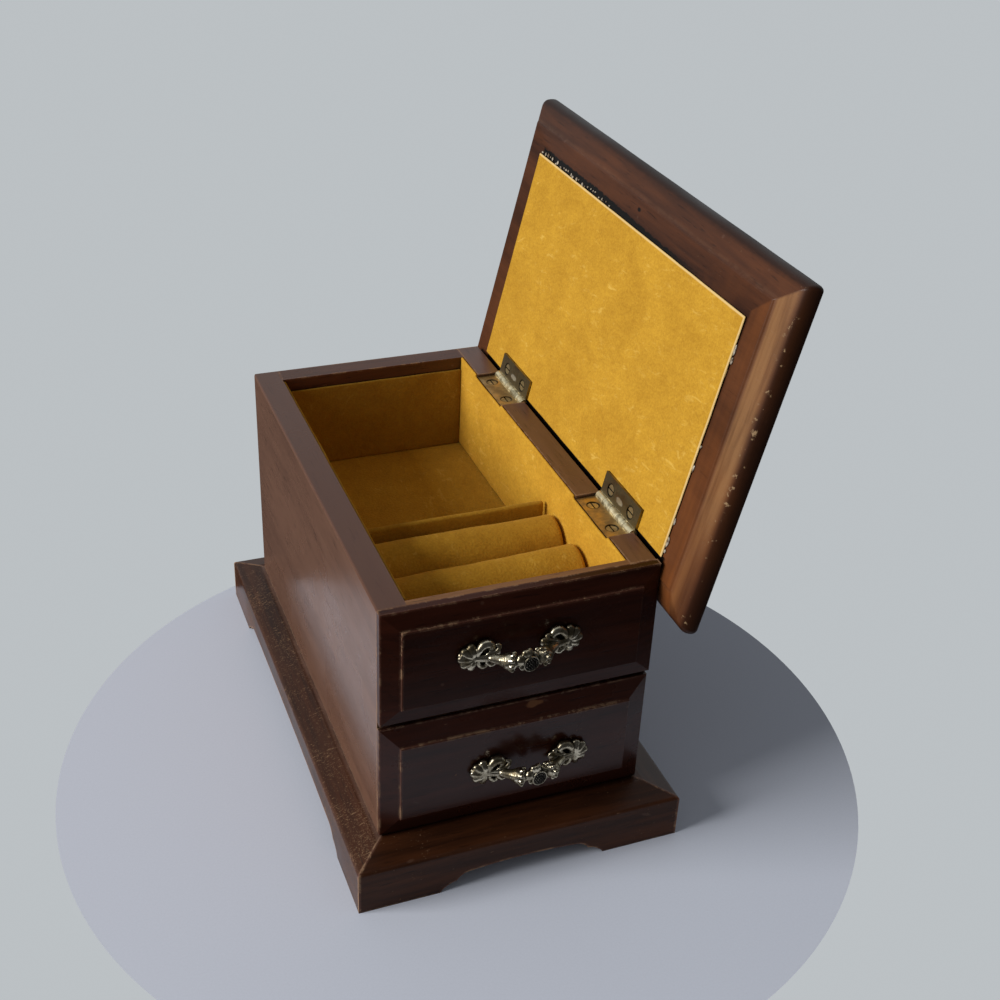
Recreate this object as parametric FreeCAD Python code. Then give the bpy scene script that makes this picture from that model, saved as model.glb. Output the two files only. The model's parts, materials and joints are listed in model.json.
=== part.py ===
import FreeCAD, Part
import math
import os

# A ring box: a wooden case on a bracket plinth, with a hinged lid, a velvet-lined
# compartment on top and one drawer below it. The upper front is a fixed false front.
# Millimetres. +X is the hinge side, -Y the front, +Z up.
# The origin is the centre of the plinth's footprint, on the floor.
# The lid is drawn open, leaning on its stop.

# Case
case_width = 96.0              # outer face to outer face of the side boards
case_length = 173.0            # edge of the upper front to the back of the rear board
side_board = 9.8
rear_board = 8.2
board_round = 0.8
groove_depth = 3.0             # housing of the compartment floor in the boards
case_bottom = 4.0
drawer_bay_height = 44.6
compartment_floor = 3.0
compartment_depth = 40.0       # floor lining to the rim
compartment_wall = 2.4         # front wall of the compartment, between the side boards

# Plinth: four mitred rails
plinth_height = 18.7
plinth_face_height = 17.2
plinth_ledge = 2.0             # flat strip round the case, before the slope starts
plinth_side_reach = 11.3
plinth_front_reach = 12.7
plinth_rear_reach = 10.0
plinth_seat = 4.2              # how far the rails reach in past the side boards
plinth_round = 1.3
front_foot = 28.8              # length of a bracket foot along the front and the rear
side_foot = 27.0
bracket_run = 11.1             # foot's inner end to the start of the arch
bracket_height = 7.0
bracket_step_run = 5.9
bracket_step_height = 3.8
bracket_bulge = 0.8
arch_rise = 1.0
plinth_screw_radius = 1.6
plinth_screw_head = 3.2
plinth_screw_length = 22.0
plinth_screw_sink = 9.5        # floor to the underside of the sunk heads
plinth_screw_inset = 30.0      # from the case's front and rear faces

# Raised-panel fronts
upper_front_edge = 3.0         # thickness at the thin edge
drawer_front_edge = 1.7
panel_rise = 1.6               # slope of the margin
panel_shoulder = 0.8           # square step up to the field
upper_margin = 6.6
drawer_side_margin = 6.8
drawer_top_margin = 8.0
drawer_bottom_margin = 7.0
panel_round = 0.35
upper_front_lap = 0.3          # compartment floor seen below the upper front
front_gap = 2.4                # drawer front to upper front
drawer_front_lift = 0.5        # drawer front above the plinth
drawer_stop_gap = 0.15         # closed drawer front to the side boards' ends

# Linings and ring cushion
lining = 1.2                   # card covered with velvet
rear_lining_drop = 5.2         # rim to the top of the rear lining
left_lining_gap = 2.0          # left lining to the compartment's front wall
divider_thickness = 2.4
divider_height = 24.9
divider_end_gap = 1.3
divider_round = 0.9
lining_notch_gap = 0.3         # shut lid leaf to the notch in the right lining
ring_bay = 62.0                # front wall to divider
ring_rolls = 3
roll_gap = 0.3
cushion_base = 3.8
roll_seat_gap = 0.2
roll_end_gap = 1.0
roll_end_round = 1.5

# Lid
lid_left_reach = 10.4          # its outer edge, past the case's outline
lid_hinge_reach = 15.6
lid_front_reach = 17.0
lid_rear_reach = 13.0
lid_left_flat = 1.85           # its flat underside, past the case's outline
lid_hinge_flat = 4.55
lid_front_flat = 6.65
lid_rear_flat = 4.35
lid_bevel_rise = 3.2
lid_shoulder = 0.4             # step between the flat underside and its bevel
lid_edge_height = 6.2
lid_corner = 2.4               # its four upright corners, rounded
lid_round = 2.0
lid_top_margin = 13.0
lid_top_rise = 1.2
lid_velvet = 0.9
lid_velvet_left = 8.0          # margins of the velvet panel inside the case's outline
lid_velvet_right = 3.4
lid_velvet_front = 2.7
lid_velvet_rear = 8.3
lid_closed_gap = 0.1           # velvet to rim with the lid shut
lid_stop_gap = 0.05            # lid to side board with the lid open

# Hinges
hinge_length = 27.6
hinge_knuckles = 5
hinge_leaf = 1.0
hinge_leaf_gap = 0.1
hinge_barrel_radius = 1.6
hinge_pin_radius = 0.75
hinge_running_gap = 0.05
hinge_knuckle_gap = 0.15
hinge_relief = 0.15            # wood cut back round a barrel
hinge_axis_inset = 0.67        # axis inside the side board's outer face
lid_leaf_width = 9.6
front_hinge_centre = 33.9      # from the edge of the upper front
rear_hinge_centre = 39.4       # from the back of the rear board
hinge_end_play = 0.1
screw_spacing = 15.6
screw_from_axis = 5.1
screw_length = 6.6
screw_radius = 0.95
screw_head_radius = 1.95
screw_countersink = 2.2
screw_slot = 0.5

# Drawer
drawer_side = 5.0
drawer_inner_front = 4.5
drawer_back = 4.5
drawer_bottom = 2.5
drawer_top_gap = 10.5          # sides to the compartment floor above them
drawer_bottom_raise = 2.5      # lower edge of the sides to the bottom panel
drawer_groove = 2.0
drawer_side_play = 0.5
drawer_run_gap = 0.1
drawer_rear_gap = 6.0
drawer_lining = 1.0

# Pulls: cast bow pulls, each one rigid piece
pull_length = 43.8
pull_leaf_length = 13.0
pull_leaf_height = 11.5
pull_leaf_thickness = 1.8
bow_radius = 1.5
bow_foot = 11.0                # middle of the pull to where the bow leaves the leaf
bow_reach = 7.8                # panel to the bow's centre line, at its middle
fan_lobes = 5
fan_spread = 180.0             # degrees between the first and the last lobe
fan_lobes_across = 3.2         # lobe widths in the leaf's height
collar_radius = 2.7
collar_length = 4.0
collar_share = 0.8             # how far along the bow the second collar starts
flower_radius = 3.5
flower_thickness = 2.0
upper_pull_shift = -1.9        # from the middle of the case, towards the hinge side
upper_pull_lift = 2.0          # above the middle of the upper front
drawer_pull_shift = 4.35
drawer_pull_drop = 1.35
pull_screw_radius = 0.9
pull_screw_head = 1.9
pull_screw_head_height = 1.2
pull_screw_grip = 1.5          # screw length inside the casting

# Levels and planes worked out from the sizes above
half_width = case_width / 2
inner_half = half_width - side_board
plinth_under_case = side_board + plinth_seat
footprint_length = case_length + plinth_front_reach + plinth_rear_reach
front_plane = plinth_front_reach - footprint_length / 2
rear_face = front_plane + case_length
board_ends = front_plane + upper_front_edge
rear_inner = rear_face - rear_board
wall_back = board_ends + compartment_wall
bottom_top = plinth_height + case_bottom
floor_under = bottom_top + drawer_bay_height
floor_top = floor_under + compartment_floor
lining_top = floor_top + lining
rim_height = lining_top + compartment_depth
upper_front_bottom = floor_under + upper_front_lap
drawer_front_top = upper_front_bottom - front_gap
drawer_front_bottom = plinth_height + drawer_front_lift
drawer_front_back = board_ends - drawer_stop_gap
drawer_front_plane = drawer_front_back - drawer_front_edge
panel_proud = panel_rise + panel_shoulder
divider_front = wall_back + ring_bay
divider_back = divider_front + divider_thickness
axis_x = half_width - hinge_axis_inset
leaf_offset = hinge_leaf_gap / 2
axis_z = rim_height + lid_closed_gap - hinge_leaf - leaf_offset
lid_under = rim_height + lid_closed_gap + lid_velvet
overhang_from_axis = lid_hinge_flat + hinge_axis_inset
underside_from_axis = lid_under - axis_z
stop_reach = math.hypot(overhang_from_axis, underside_from_axis)
lid_open_angle = math.degrees(
    math.atan2(underside_from_axis, overhang_from_axis)
    + math.acos((hinge_axis_inset + lid_stop_gap) / stop_reach))
hinge_centres = {"front": front_plane + front_hinge_centre, "rear": rear_face - rear_hinge_centre}
overcut = 1.0                  # how far a cutter runs past what it cuts
up, down = (0, 0, 1), (0, 0, -1)
forward, back = (0, -1, 0), (0, 1, 0)
along_x, along_y = (1, 0, 0), (0, 1, 0)


def vector(x, y, z):
    return FreeCAD.Vector(x, y, z)


def block(x0, x1, y0, y1, z0, z1):
    return Part.makeBox(x1 - x0, y1 - y0, z1 - z0, vector(x0, y0, z0))


def rod(centre, direction, radius, length):
    return Part.makeCylinder(radius, length, vector(*centre), vector(*direction))


def cone(centre, direction, base_radius, end_radius, length):
    return Part.makeCone(base_radius, end_radius, length, vector(*centre), vector(*direction))


def prism(points, direction):
    """A solid swept from a closed outline of corner points."""
    outline = [vector(*point) for point in points]
    face = Part.Face(Part.makePolygon(outline + [outline[0]]))
    return face.extrude(vector(*direction))


def frustum(lower, upper):
    """A solid between two four-cornered outlines whose corners pair up."""
    low = [vector(*point) for point in lower]
    high = [vector(*point) for point in upper]
    rings = [low, high]
    for corner in range(4):
        following = (corner + 1) % 4
        rings.append([low[corner], low[following], high[following], high[corner]])
    faces = [Part.Face(Part.makePolygon(ring + [ring[0]])) for ring in rings]
    solid = Part.Solid(Part.makeShell(faces))
    if solid.Volume < 0:
        solid.reverse()
    return solid


def join(first, *others):
    return first.multiFuse(list(others)).removeSplitter()


def rounded(shape, radius, wanted):
    """Rounds the edges for which wanted(low corner, high corner of the edge) holds."""
    edges = []
    for edge in shape.Edges:
        box = edge.BoundBox
        if wanted(vector(box.XMin, box.YMin, box.ZMin), vector(box.XMax, box.YMax, box.ZMax)):
            edges.append(edge)
    return shape.makeFillet(radius, edges)


def same(first, second):
    return abs(first - second) < 1e-4


def save(name, solids):
    shape = Part.makeCompound(solids) if len(solids) > 1 else solids[0]
    shape.exportStep("parts/" + name + ".step")
    print(name, len(solids), round(sum(solid.Volume for solid in solids), 1))


# Countersunk screws: the hole is cut with the same cone and shank that fill it
def screw_cutter(point, direction, length):
    deep = screw_countersink - screw_radius
    head = cone(point, direction, screw_countersink, screw_radius, deep)
    shank = rod(point, direction, screw_radius, length)
    return head.fuse(shank)


def countersunk_screw(point, direction, length, slot_along):
    """A screw whose head sits just below the face that its point lies on."""
    sink = screw_countersink - screw_head_radius
    way = vector(*direction)
    top = vector(*point) + way * sink
    head = cone(tuple(top), direction, screw_head_radius, screw_radius,
                screw_head_radius - screw_radius)
    shank = rod(tuple(top), direction, screw_radius, length - sink)
    across = vector(*slot_along).cross(way)
    corners = []
    for along, aside in ((-1, -1), (1, -1), (1, 1), (-1, 1)):
        run = vector(*slot_along) * (along * screw_countersink)
        corners.append(tuple(top + run + across * (aside * screw_slot / 2)))
    slot = prism(corners, tuple(way * screw_slot))
    return head.fuse(shank).cut(slot)


# Plinth
def rail_profile(reach, inner):
    """Section of a rail: distance out from the case's face, and height."""
    drop = plinth_height - plinth_face_height
    slope = math.atan2(drop, reach - plinth_ledge)
    centre_out = reach - plinth_round
    slope_level = plinth_height - (centre_out - plinth_ledge) * math.tan(slope)
    centre_height = slope_level - plinth_round / math.cos(slope)

    def on_arc(angle):
        return (centre_out + plinth_round * math.cos(angle), centre_height + plinth_round * math.sin(angle))

    slope_angle = math.pi / 2 - slope
    return [(-inner, 0), (reach, 0), on_arc(0), on_arc(slope_angle / 2), on_arc(slope_angle),
            (plinth_ledge, plinth_height), (-inner, plinth_height)]


def rail_blank(reach, half_run, inner):
    """A straight rail along X, with the case's face at Y = 0 and its outside towards -Y."""
    points = [vector(-half_run, -out, height) for out, height in rail_profile(reach, inner)]
    start, foot, face_point, middle, slope_point, ledge, back = points
    edges = [
        Part.LineSegment(start, foot).toShape(),
        Part.LineSegment(foot, face_point).toShape(),
        Part.Arc(face_point, middle, slope_point).toShape(),
        Part.LineSegment(slope_point, ledge).toShape(),
        Part.LineSegment(ledge, back).toShape(),
        Part.LineSegment(back, start).toShape(),
    ]
    return Part.Face(Part.Wire(edges)).extrude(vector(2 * half_run, 0, 0))


def bulged(start, end, bulge, level):
    """An arc in the XZ plane at Y = level, pushed out to the left of its chord."""
    run, rise = end[0] - start[0], end[1] - start[1]
    chord = math.hypot(run, rise)
    middle = ((start[0] + end[0]) / 2 - rise / chord * bulge, (start[1] + end[1]) / 2 + run / chord * bulge)
    return Part.Arc(*[vector(x, level, z) for x, z in (start, middle, end)]).toShape()


def straight(start, end, level):
    return Part.LineSegment(vector(start[0], level, start[1]), vector(end[0], level, end[1])).toShape()


def bracket_cutter(foot_inner, reach, inner):
    """The space under a rail between two bracket feet, through the rail's whole depth."""
    level = -reach - overcut
    low_left, low_right = (-foot_inner, -overcut), (foot_inner, -overcut)
    step = foot_inner - bracket_step_run
    arch = foot_inner - bracket_run
    edges = [
        straight(low_left, low_right, level),
        straight(low_right, (foot_inner, 0), level),
        bulged((step, bracket_step_height), (foot_inner, 0), bracket_bulge, level),
        bulged((arch, bracket_height), (step, bracket_step_height), bracket_bulge, level),
        bulged((-arch, bracket_height), (arch, bracket_height), arch_rise, level),
        bulged((-step, bracket_step_height), (-arch, bracket_height), bracket_bulge, level),
        bulged((-foot_inner, 0), (-step, bracket_step_height), bracket_bulge, level),
        straight((-foot_inner, 0), low_left, level),
    ]
    wire = Part.Wire(Part.__sortEdges__(edges))
    return Part.Face(wire).extrude(vector(0, reach + inner + 2 * overcut, 0))


def mitre_wedge(front_reach, left_reach, right_reach, half_run, inner):
    """Plan region of a rail between its two mitres, for a rail along X outside Y = 0."""
    corners = []
    for side, reach in ((-1, left_reach), (1, right_reach)):
        ledge = (side * (half_run + plinth_ledge), -plinth_ledge)
        out = (side * (reach - plinth_ledge), -(front_reach - plinth_ledge))
        scale = 1 + overcut / (reach - plinth_ledge)
        back = (inner + plinth_ledge + overcut) / (front_reach - plinth_ledge)
        outer = (ledge[0] + out[0] * scale, ledge[1] + out[1] * scale)
        inside = (ledge[0] - out[0] * back, ledge[1] - out[1] * back)
        corners.append((outer, inside))
    (outer_left, inside_left), (outer_right, inside_right) = corners
    outline = [outer_left, outer_right, inside_right, inside_left]
    return prism([(x, y, -overcut) for x, y in outline], (0, 0, plinth_height + 2 * overcut))


def plinth_rail(front_reach, left_reach, right_reach, half_run, foot):
    """One mitred rail with bracket feet, along X, the case's face at Y = 0."""
    blank = rail_blank(front_reach, half_run + max(left_reach, right_reach), plinth_under_case)
    wedge = mitre_wedge(front_reach, left_reach, right_reach, half_run, plinth_under_case)
    rail = blank.common(wedge)
    shift = (right_reach - left_reach) / 2
    foot_inner = half_run + (left_reach + right_reach) / 2 - foot
    cutter = bracket_cutter(foot_inner, front_reach, plinth_under_case)
    cutter.translate(vector(shift, 0, 0))
    return rail.cut(cutter)


def turned(shape, angle, x, y):
    """Turns a shape about Z and then moves it."""
    shape.rotate(vector(0, 0, 0), vector(0, 0, 1), angle)
    shape.translate(vector(x, y, 0))
    return shape


def plinth_screw_places():
    places = []
    for side in (-1, 1):
        for y in (front_plane + plinth_screw_inset, rear_face - plinth_screw_inset):
            places.append((side * (half_width - side_board / 2), y, plinth_screw_sink))
    return places


def plinth_screw(place):
    head = cone(place, up, plinth_screw_head, plinth_screw_radius, plinth_screw_head - plinth_screw_radius)
    return head.fuse(rod(place, up, plinth_screw_radius, plinth_screw_length))


def plinth_screw_cutter(place):
    x, y, level = place
    well = rod((x, y, -overcut), up, plinth_screw_head, level + overcut)
    return well.fuse(plinth_screw(place))


def make_plinth():
    middle = (front_plane + rear_face) / 2
    cross = (plinth_side_reach, plinth_side_reach, half_width, front_foot)
    front = plinth_rail(plinth_front_reach, *cross)
    rear = plinth_rail(plinth_rear_reach, *cross)
    left = plinth_rail(plinth_side_reach, plinth_rear_reach, plinth_front_reach, case_length / 2, side_foot)
    right = plinth_rail(plinth_side_reach, plinth_front_reach, plinth_rear_reach, case_length / 2, side_foot)
    left = turned(left, -90, -half_width, middle)
    right = turned(right, 90, half_width, middle)
    cutters = [plinth_screw_cutter(place) for place in plinth_screw_places()]
    save("plinth_front_rail", [turned(front, 0, 0, front_plane)])
    save("plinth_rear_rail", [turned(rear, 180, 0, rear_face)])
    save("plinth_left_rail", [left.cut(cutters)])
    save("plinth_right_rail", [right.cut(cutters)])
    save("plinth_screws", [plinth_screw(place) for place in plinth_screw_places()])


# Case
def mortise(hinge_y, inner_x, depth_level):
    """What is cut away for one hinge: a slot to the outer face, open at the top."""
    half = hinge_length / 2 + hinge_end_play
    return block(inner_x, half_width + overcut, hinge_y - half, hinge_y + half,
                 depth_level, rim_height + overcut)


def barrel_relief(hinge_y):
    half = hinge_length / 2 + hinge_end_play
    return rod((axis_x, hinge_y - half, axis_z), along_y, hinge_barrel_radius + hinge_relief, 2 * half)


def hinge_screw_points():
    """Middle of each screw's countersink, as (distance along Y) for every hinge."""
    points = []
    for hinge_y in hinge_centres.values():
        for side in (-1, 1):
            points.append(hinge_y + side * screw_spacing / 2)
    return points


def case_screw_point(y):
    return (axis_x - screw_from_axis, y, axis_z - leaf_offset)


def side_board_blank(side):
    x0, x1 = sorted((side * inner_half, side * half_width))
    board = block(x0, x1, board_ends, rear_face, plinth_height, rim_height)
    outer = side * half_width

    def outer_arris(low, high):
        upright = same(low.y, rear_face) and same(high.y, rear_face)
        level = same(low.z, rim_height)
        return same(low.x, outer) and same(high.x, outer) and (upright or level)

    board = rounded(board, board_round, outer_arris)
    g0, g1 = sorted((side * (inner_half - overcut), side * (inner_half + groove_depth)))
    groove = block(g0, g1, board_ends - overcut, rear_inner + groove_depth, floor_under, floor_top)
    cutters = [plinth_screw_cutter(place) for place in plinth_screw_places()]
    return board.cut([groove] + cutters)


def make_boards():
    save("left_side_board", [side_board_blank(-1)])
    leaf_seat = axis_z - leaf_offset - hinge_leaf
    cutters = []
    for hinge_y in hinge_centres.values():
        cutters.append(mortise(hinge_y, inner_half - overcut, leaf_seat))
        cutters.append(barrel_relief(hinge_y))
    cutters += [screw_cutter(case_screw_point(y), down, screw_length) for y in hinge_screw_points()]
    save("right_side_board", [side_board_blank(1).cut(cutters)])
    rear = block(-inner_half, inner_half, rear_inner, rear_face, plinth_height, rim_height)
    groove = block(-inner_half, inner_half, rear_inner - overcut, rear_inner + groove_depth,
                   floor_under, floor_top)
    save("rear_board", [rear.cut(groove)])
    housed = inner_half + groove_depth
    save("compartment_floor",
         [block(-housed, housed, board_ends, rear_inner + groove_depth, floor_under, floor_top)])
    save("case_bottom_board",
         [block(-inner_half, inner_half, board_ends, rear_inner, plinth_height, bottom_top)])


# Fronts and pulls
def raised_panel(x0, x1, z0, z1, rear, edge, margins):
    """A board facing -Y: thin edge, sloping margin, square shoulder and flat field."""
    left, right, bottom, top = margins
    fx0, fx1, fz0, fz1 = x0 + left, x1 - right, z0 + bottom, z1 - top
    slope_top = edge - panel_rise
    outline = [(x0, edge, z0), (x1, edge, z0), (x1, edge, z1), (x0, edge, z1)]
    field_outline = [(fx0, slope_top, fz0), (fx1, slope_top, fz0),
                     (fx1, slope_top, fz1), (fx0, slope_top, fz1)]
    field = block(fx0, fx1, slope_top - panel_shoulder, slope_top, fz0, fz1)
    board = join(block(x0, x1, edge, rear, z0, z1), frustum(outline, field_outline), field)
    proud = slope_top - panel_shoulder

    def worn_arris(low, high):
        round_field = same(low.y, proud) and same(high.y, proud)
        round_edge = same(low.y, edge) and same(high.y, edge)
        return round_field or round_edge

    return rounded(board, panel_round, worn_arris)


def bow_arc():
    """Centre line of a pull's bow: the panel is at Y = 0 and the bow stands out to -Y."""
    depth = pull_leaf_thickness / 2
    return Part.Arc(vector(-bow_foot, -depth, 0), vector(0, -bow_reach, 0), vector(bow_foot, -depth, 0))


def pull_leaf(side):
    """A palmette: a fan of round lobes at the end of the pull and two scrolls behind it."""
    lobe = pull_leaf_height / (2 * fan_lobes_across)
    hub_x = pull_length / 2 - pull_leaf_height / 2
    spread = pull_leaf_height / 2 - lobe
    discs = [(hub_x, 0, spread)]
    for number in range(fan_lobes):
        angle = math.radians(-fan_spread / 2 + fan_spread * number / (fan_lobes - 1))
        discs.append((hub_x + spread * math.cos(angle), spread * math.sin(angle), lobe))
    scroll_x = pull_length / 2 - pull_leaf_length + lobe
    scroll_z = pull_leaf_height / 2 - lobe
    discs += [(scroll_x, scroll_z, lobe), (scroll_x, -scroll_z, lobe)]
    solids = [rod((side * x, 0, z), forward, radius, pull_leaf_thickness) for x, z, radius in discs]
    stem = block(*sorted((side * bow_foot, side * hub_x)), -pull_leaf_thickness, 0, -lobe, lobe)
    web = block(*sorted((side * scroll_x, side * hub_x)), -pull_leaf_thickness, 0, -scroll_z, scroll_z)
    solids += [stem, web]
    return solids


def bow_pull(x, y, z):
    arc = bow_arc()
    start = arc.value(arc.FirstParameter)
    tangent = arc.tangent(arc.FirstParameter)[0]
    section = Part.Wire(Part.makeCircle(bow_radius, start, tangent))
    bow = Part.Wire(arc.toShape()).makePipeShell([section], True, True)
    solids = pull_leaf(-1) + pull_leaf(1)
    for side in (-1, 1):
        share = collar_share if side > 0 else 1 - collar_share
        parameter = arc.FirstParameter + (arc.LastParameter - arc.FirstParameter) * share
        seat = arc.value(parameter)
        way = arc.tangent(parameter)[0] * -side
        solids.append(cone(tuple(seat), tuple(way), bow_radius, collar_radius, collar_length))
    flower_back = -bow_reach + flower_thickness / 2
    solids.append(rod((0, flower_back, 0), forward, flower_radius, flower_thickness))
    behind = block(-pull_length, pull_length, 0, bow_reach, -pull_length, pull_length)
    pull = join(bow, *solids).cut(behind)
    for side in (-1, 1):
        pull = pull.cut(rod((side * bow_foot, 0, 0), forward, pull_screw_radius, pull_screw_grip))
    pull.translate(vector(x, y, z))
    return pull


def pull_screw(x, field, head_seat, z):
    """A screw from behind: its head is let into the inner board, its end is in the casting."""
    head = rod((x, head_seat, z), back, pull_screw_head, pull_screw_head_height)
    shank = rod((x, head_seat, z), forward, pull_screw_radius, head_seat - field + pull_screw_grip)
    return head.fuse(shank)


def pull_screws(x, field, inner_face, z):
    head_seat = inner_face - pull_screw_head_height
    return [pull_screw(x + side * bow_foot, field, head_seat, z) for side in (-1, 1)]


def make_upper_front():
    field = front_plane - panel_proud
    pull_z = (upper_front_bottom + rim_height) / 2 + upper_pull_lift
    margins = (upper_margin, upper_margin, upper_margin, upper_margin)
    screws = pull_screws(upper_pull_shift, field, wall_back, pull_z)
    panel = raised_panel(-half_width, half_width, upper_front_bottom, rim_height,
                         board_ends, front_plane, margins)
    wall = block(-inner_half, inner_half, board_ends, wall_back, floor_top, rim_height)
    save("upper_false_front", [panel.cut(screws)])
    save("compartment_front_wall", [wall.cut(screws)])
    save("upper_pull", [bow_pull(upper_pull_shift, field, pull_z)])
    save("upper_pull_screws", screws)


# Drawer
def make_drawer():
    outer = inner_half - drawer_side_play
    inner = outer - drawer_side
    low = bottom_top + drawer_run_gap
    high = floor_under - drawer_top_gap
    start, end = drawer_front_back, rear_inner - drawer_rear_gap
    panel_low = low + drawer_bottom_raise
    panel_high = panel_low + drawer_bottom
    inner_start = start + drawer_inner_front
    inner_end = end - drawer_back
    panel = block(-inner - drawer_groove, inner + drawer_groove, inner_start - drawer_groove, end,
                  panel_low, panel_high)
    field = drawer_front_plane - panel_proud
    pull_z = (drawer_front_bottom + drawer_front_top) / 2 - drawer_pull_drop
    screws = pull_screws(drawer_pull_shift, field, inner_start, pull_z)
    margins = (drawer_side_margin, drawer_side_margin, drawer_bottom_margin, drawer_top_margin)
    face = raised_panel(-half_width, half_width, drawer_front_bottom, drawer_front_top,
                        drawer_front_back, drawer_front_plane, margins)
    save("drawer_face", [face.cut(screws)])
    save("drawer_inner_front", [block(-inner, inner, start, inner_start, low, high).cut([panel] + screws)])
    save("drawer_left_side", [block(-outer, -inner, start, end, low, high).cut(panel)])
    save("drawer_right_side", [block(inner, outer, start, end, low, high).cut(panel)])
    save("drawer_back", [block(-inner, inner, inner_end, end, panel_high, high)])
    save("drawer_bottom", [panel])
    save("drawer_lining",
         [block(-inner, inner, inner_start, inner_end, panel_high, panel_high + drawer_lining)])
    save("drawer_pull", [bow_pull(drawer_pull_shift, field, pull_z)])
    save("drawer_pull_screws", screws)


# Velvet linings, divider and ring rolls
def make_linings():
    face = inner_half - lining
    save("floor_lining", [block(-inner_half, inner_half, wall_back, rear_inner, floor_top, lining_top)])
    save("left_lining",
         [block(-inner_half, -face, wall_back + left_lining_gap, rear_inner, lining_top, rim_height)])
    right = block(face, inner_half, wall_back, rear_inner, lining_top, rim_height)
    notch_level = axis_z + leaf_offset - lining_notch_gap
    notches = [mortise(hinge_y, face - overcut, notch_level) for hinge_y in hinge_centres.values()]
    save("right_lining", [right.cut(notches)])
    save("rear_lining",
         [block(-face, face, rear_inner - lining, rear_inner, lining_top, rim_height - rear_lining_drop)])
    divider = block(-face, face - divider_end_gap, divider_front, divider_back,
                    lining_top, lining_top + divider_height)
    top = lining_top + divider_height

    def nap_edge(low, high):
        return same(low.z, top) and same(low.y, high.y)

    save("compartment_divider", [rounded(divider, divider_round, nap_edge)])


def make_ring_cushion():
    pitch = ring_bay / ring_rolls
    radius = (pitch - roll_gap) / 2
    left = -inner_half + lining + roll_gap
    right = inner_half - lining - roll_end_gap
    base_top = lining_top + cushion_base
    centre_level = base_top + roll_seat_gap + radius
    save("ring_cushion_base",
         [block(left, right, wall_back + roll_gap, divider_front - roll_gap, lining_top, base_top)])
    for number, name in enumerate(("front", "middle", "rear")[:ring_rolls]):
        y = wall_back + pitch / 2 + number * pitch
        roll = rod((left, y, centre_level), along_x, radius, right - left)
        roll = rounded(roll, roll_end_round, lambda low, high: same(low.x, high.x))
        save("ring_roll_" + name, [roll])


# Hinges
def knuckle_span(number):
    pitch = hinge_length / hinge_knuckles
    start = -hinge_length / 2 + number * pitch
    return start + hinge_knuckle_gap / 2, start + pitch - hinge_knuckle_gap / 2


def hinge_leaf_solid(first, width, low, high, bore, screw_way):
    """One leaf with every second knuckle, from number first, about an axis along Y."""
    plate = block(-width, 0, -hinge_length / 2, hinge_length / 2, low, high)
    knuckles = []
    for number in range(hinge_knuckles):
        start, end = knuckle_span(number)
        if number % 2 == first:
            knuckles.append(rod((0, start, 0), along_y, hinge_barrel_radius, end - start))
        else:
            clear = hinge_barrel_radius + hinge_knuckle_gap
            plate = plate.cut(block(-clear, overcut, start - hinge_knuckle_gap, end + hinge_knuckle_gap,
                                    low - overcut, high + overcut))
    leaf = plate.multiFuse(knuckles).removeSplitter()
    leaf = leaf.cut(rod((0, -hinge_length, 0), along_y, bore, 2 * hinge_length))
    face = leaf_offset if screw_way == up else -leaf_offset
    for side in (-1, 1):
        point = (-screw_from_axis, side * screw_spacing / 2, face)
        leaf = leaf.cut(screw_cutter(point, screw_way, screw_length))
    return leaf


def opened(shape):
    """Turns a piece of the lid from shut to open about the hinges' axis."""
    shape.rotate(vector(axis_x, 0, axis_z), vector(0, 1, 0), lid_open_angle)
    return shape


def make_hinges():
    for name, hinge_y in hinge_centres.items():
        place = vector(axis_x, hinge_y, axis_z)
        case_leaf = hinge_leaf_solid(0, side_board - hinge_axis_inset, -leaf_offset - hinge_leaf,
                                     -leaf_offset, hinge_pin_radius, down)
        lid_leaf = hinge_leaf_solid(1, lid_leaf_width, leaf_offset, leaf_offset + hinge_leaf,
                                    hinge_pin_radius + hinge_running_gap, up)
        pin = rod((0, -hinge_length / 2, 0), along_y, hinge_pin_radius, hinge_length)
        for shape in (case_leaf, lid_leaf, pin):
            shape.translate(place)
        save(name + "_hinge_case_leaf", [case_leaf])
        save(name + "_hinge_lid_leaf", [opened(lid_leaf)])
        save(name + "_hinge_pin", [pin])
    case_screws = [countersunk_screw(case_screw_point(y), down, screw_length, along_y)
                   for y in hinge_screw_points()]
    lid_screws = [opened(countersunk_screw(lid_screw_point(y), up, screw_length, along_y))
                  for y in hinge_screw_points()]
    save("case_hinge_screws", case_screws)
    save("lid_hinge_screws", lid_screws)


# Lid
def lid_screw_point(y):
    return (axis_x - screw_from_axis, y, axis_z + leaf_offset)


def outline_past_case(level, left, hinge_side, front, rear):
    x0, x1 = -half_width - left, half_width + hinge_side
    y0, y1 = front_plane - front, rear_face + rear
    return [(x0, y0, level), (x1, y0, level), (x1, y1, level), (x0, y1, level)]


def lid_outline(level, inset):
    return outline_past_case(level, lid_left_reach - inset, lid_hinge_reach - inset,
                             lid_front_reach - inset, lid_rear_reach - inset)


def lid_slab(low, high, inset):
    return prism(lid_outline(low, inset), (0, 0, high - low))


def lid_flat_outline(level):
    return outline_past_case(level, lid_left_flat, lid_hinge_flat, lid_front_flat, lid_rear_flat)


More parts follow.
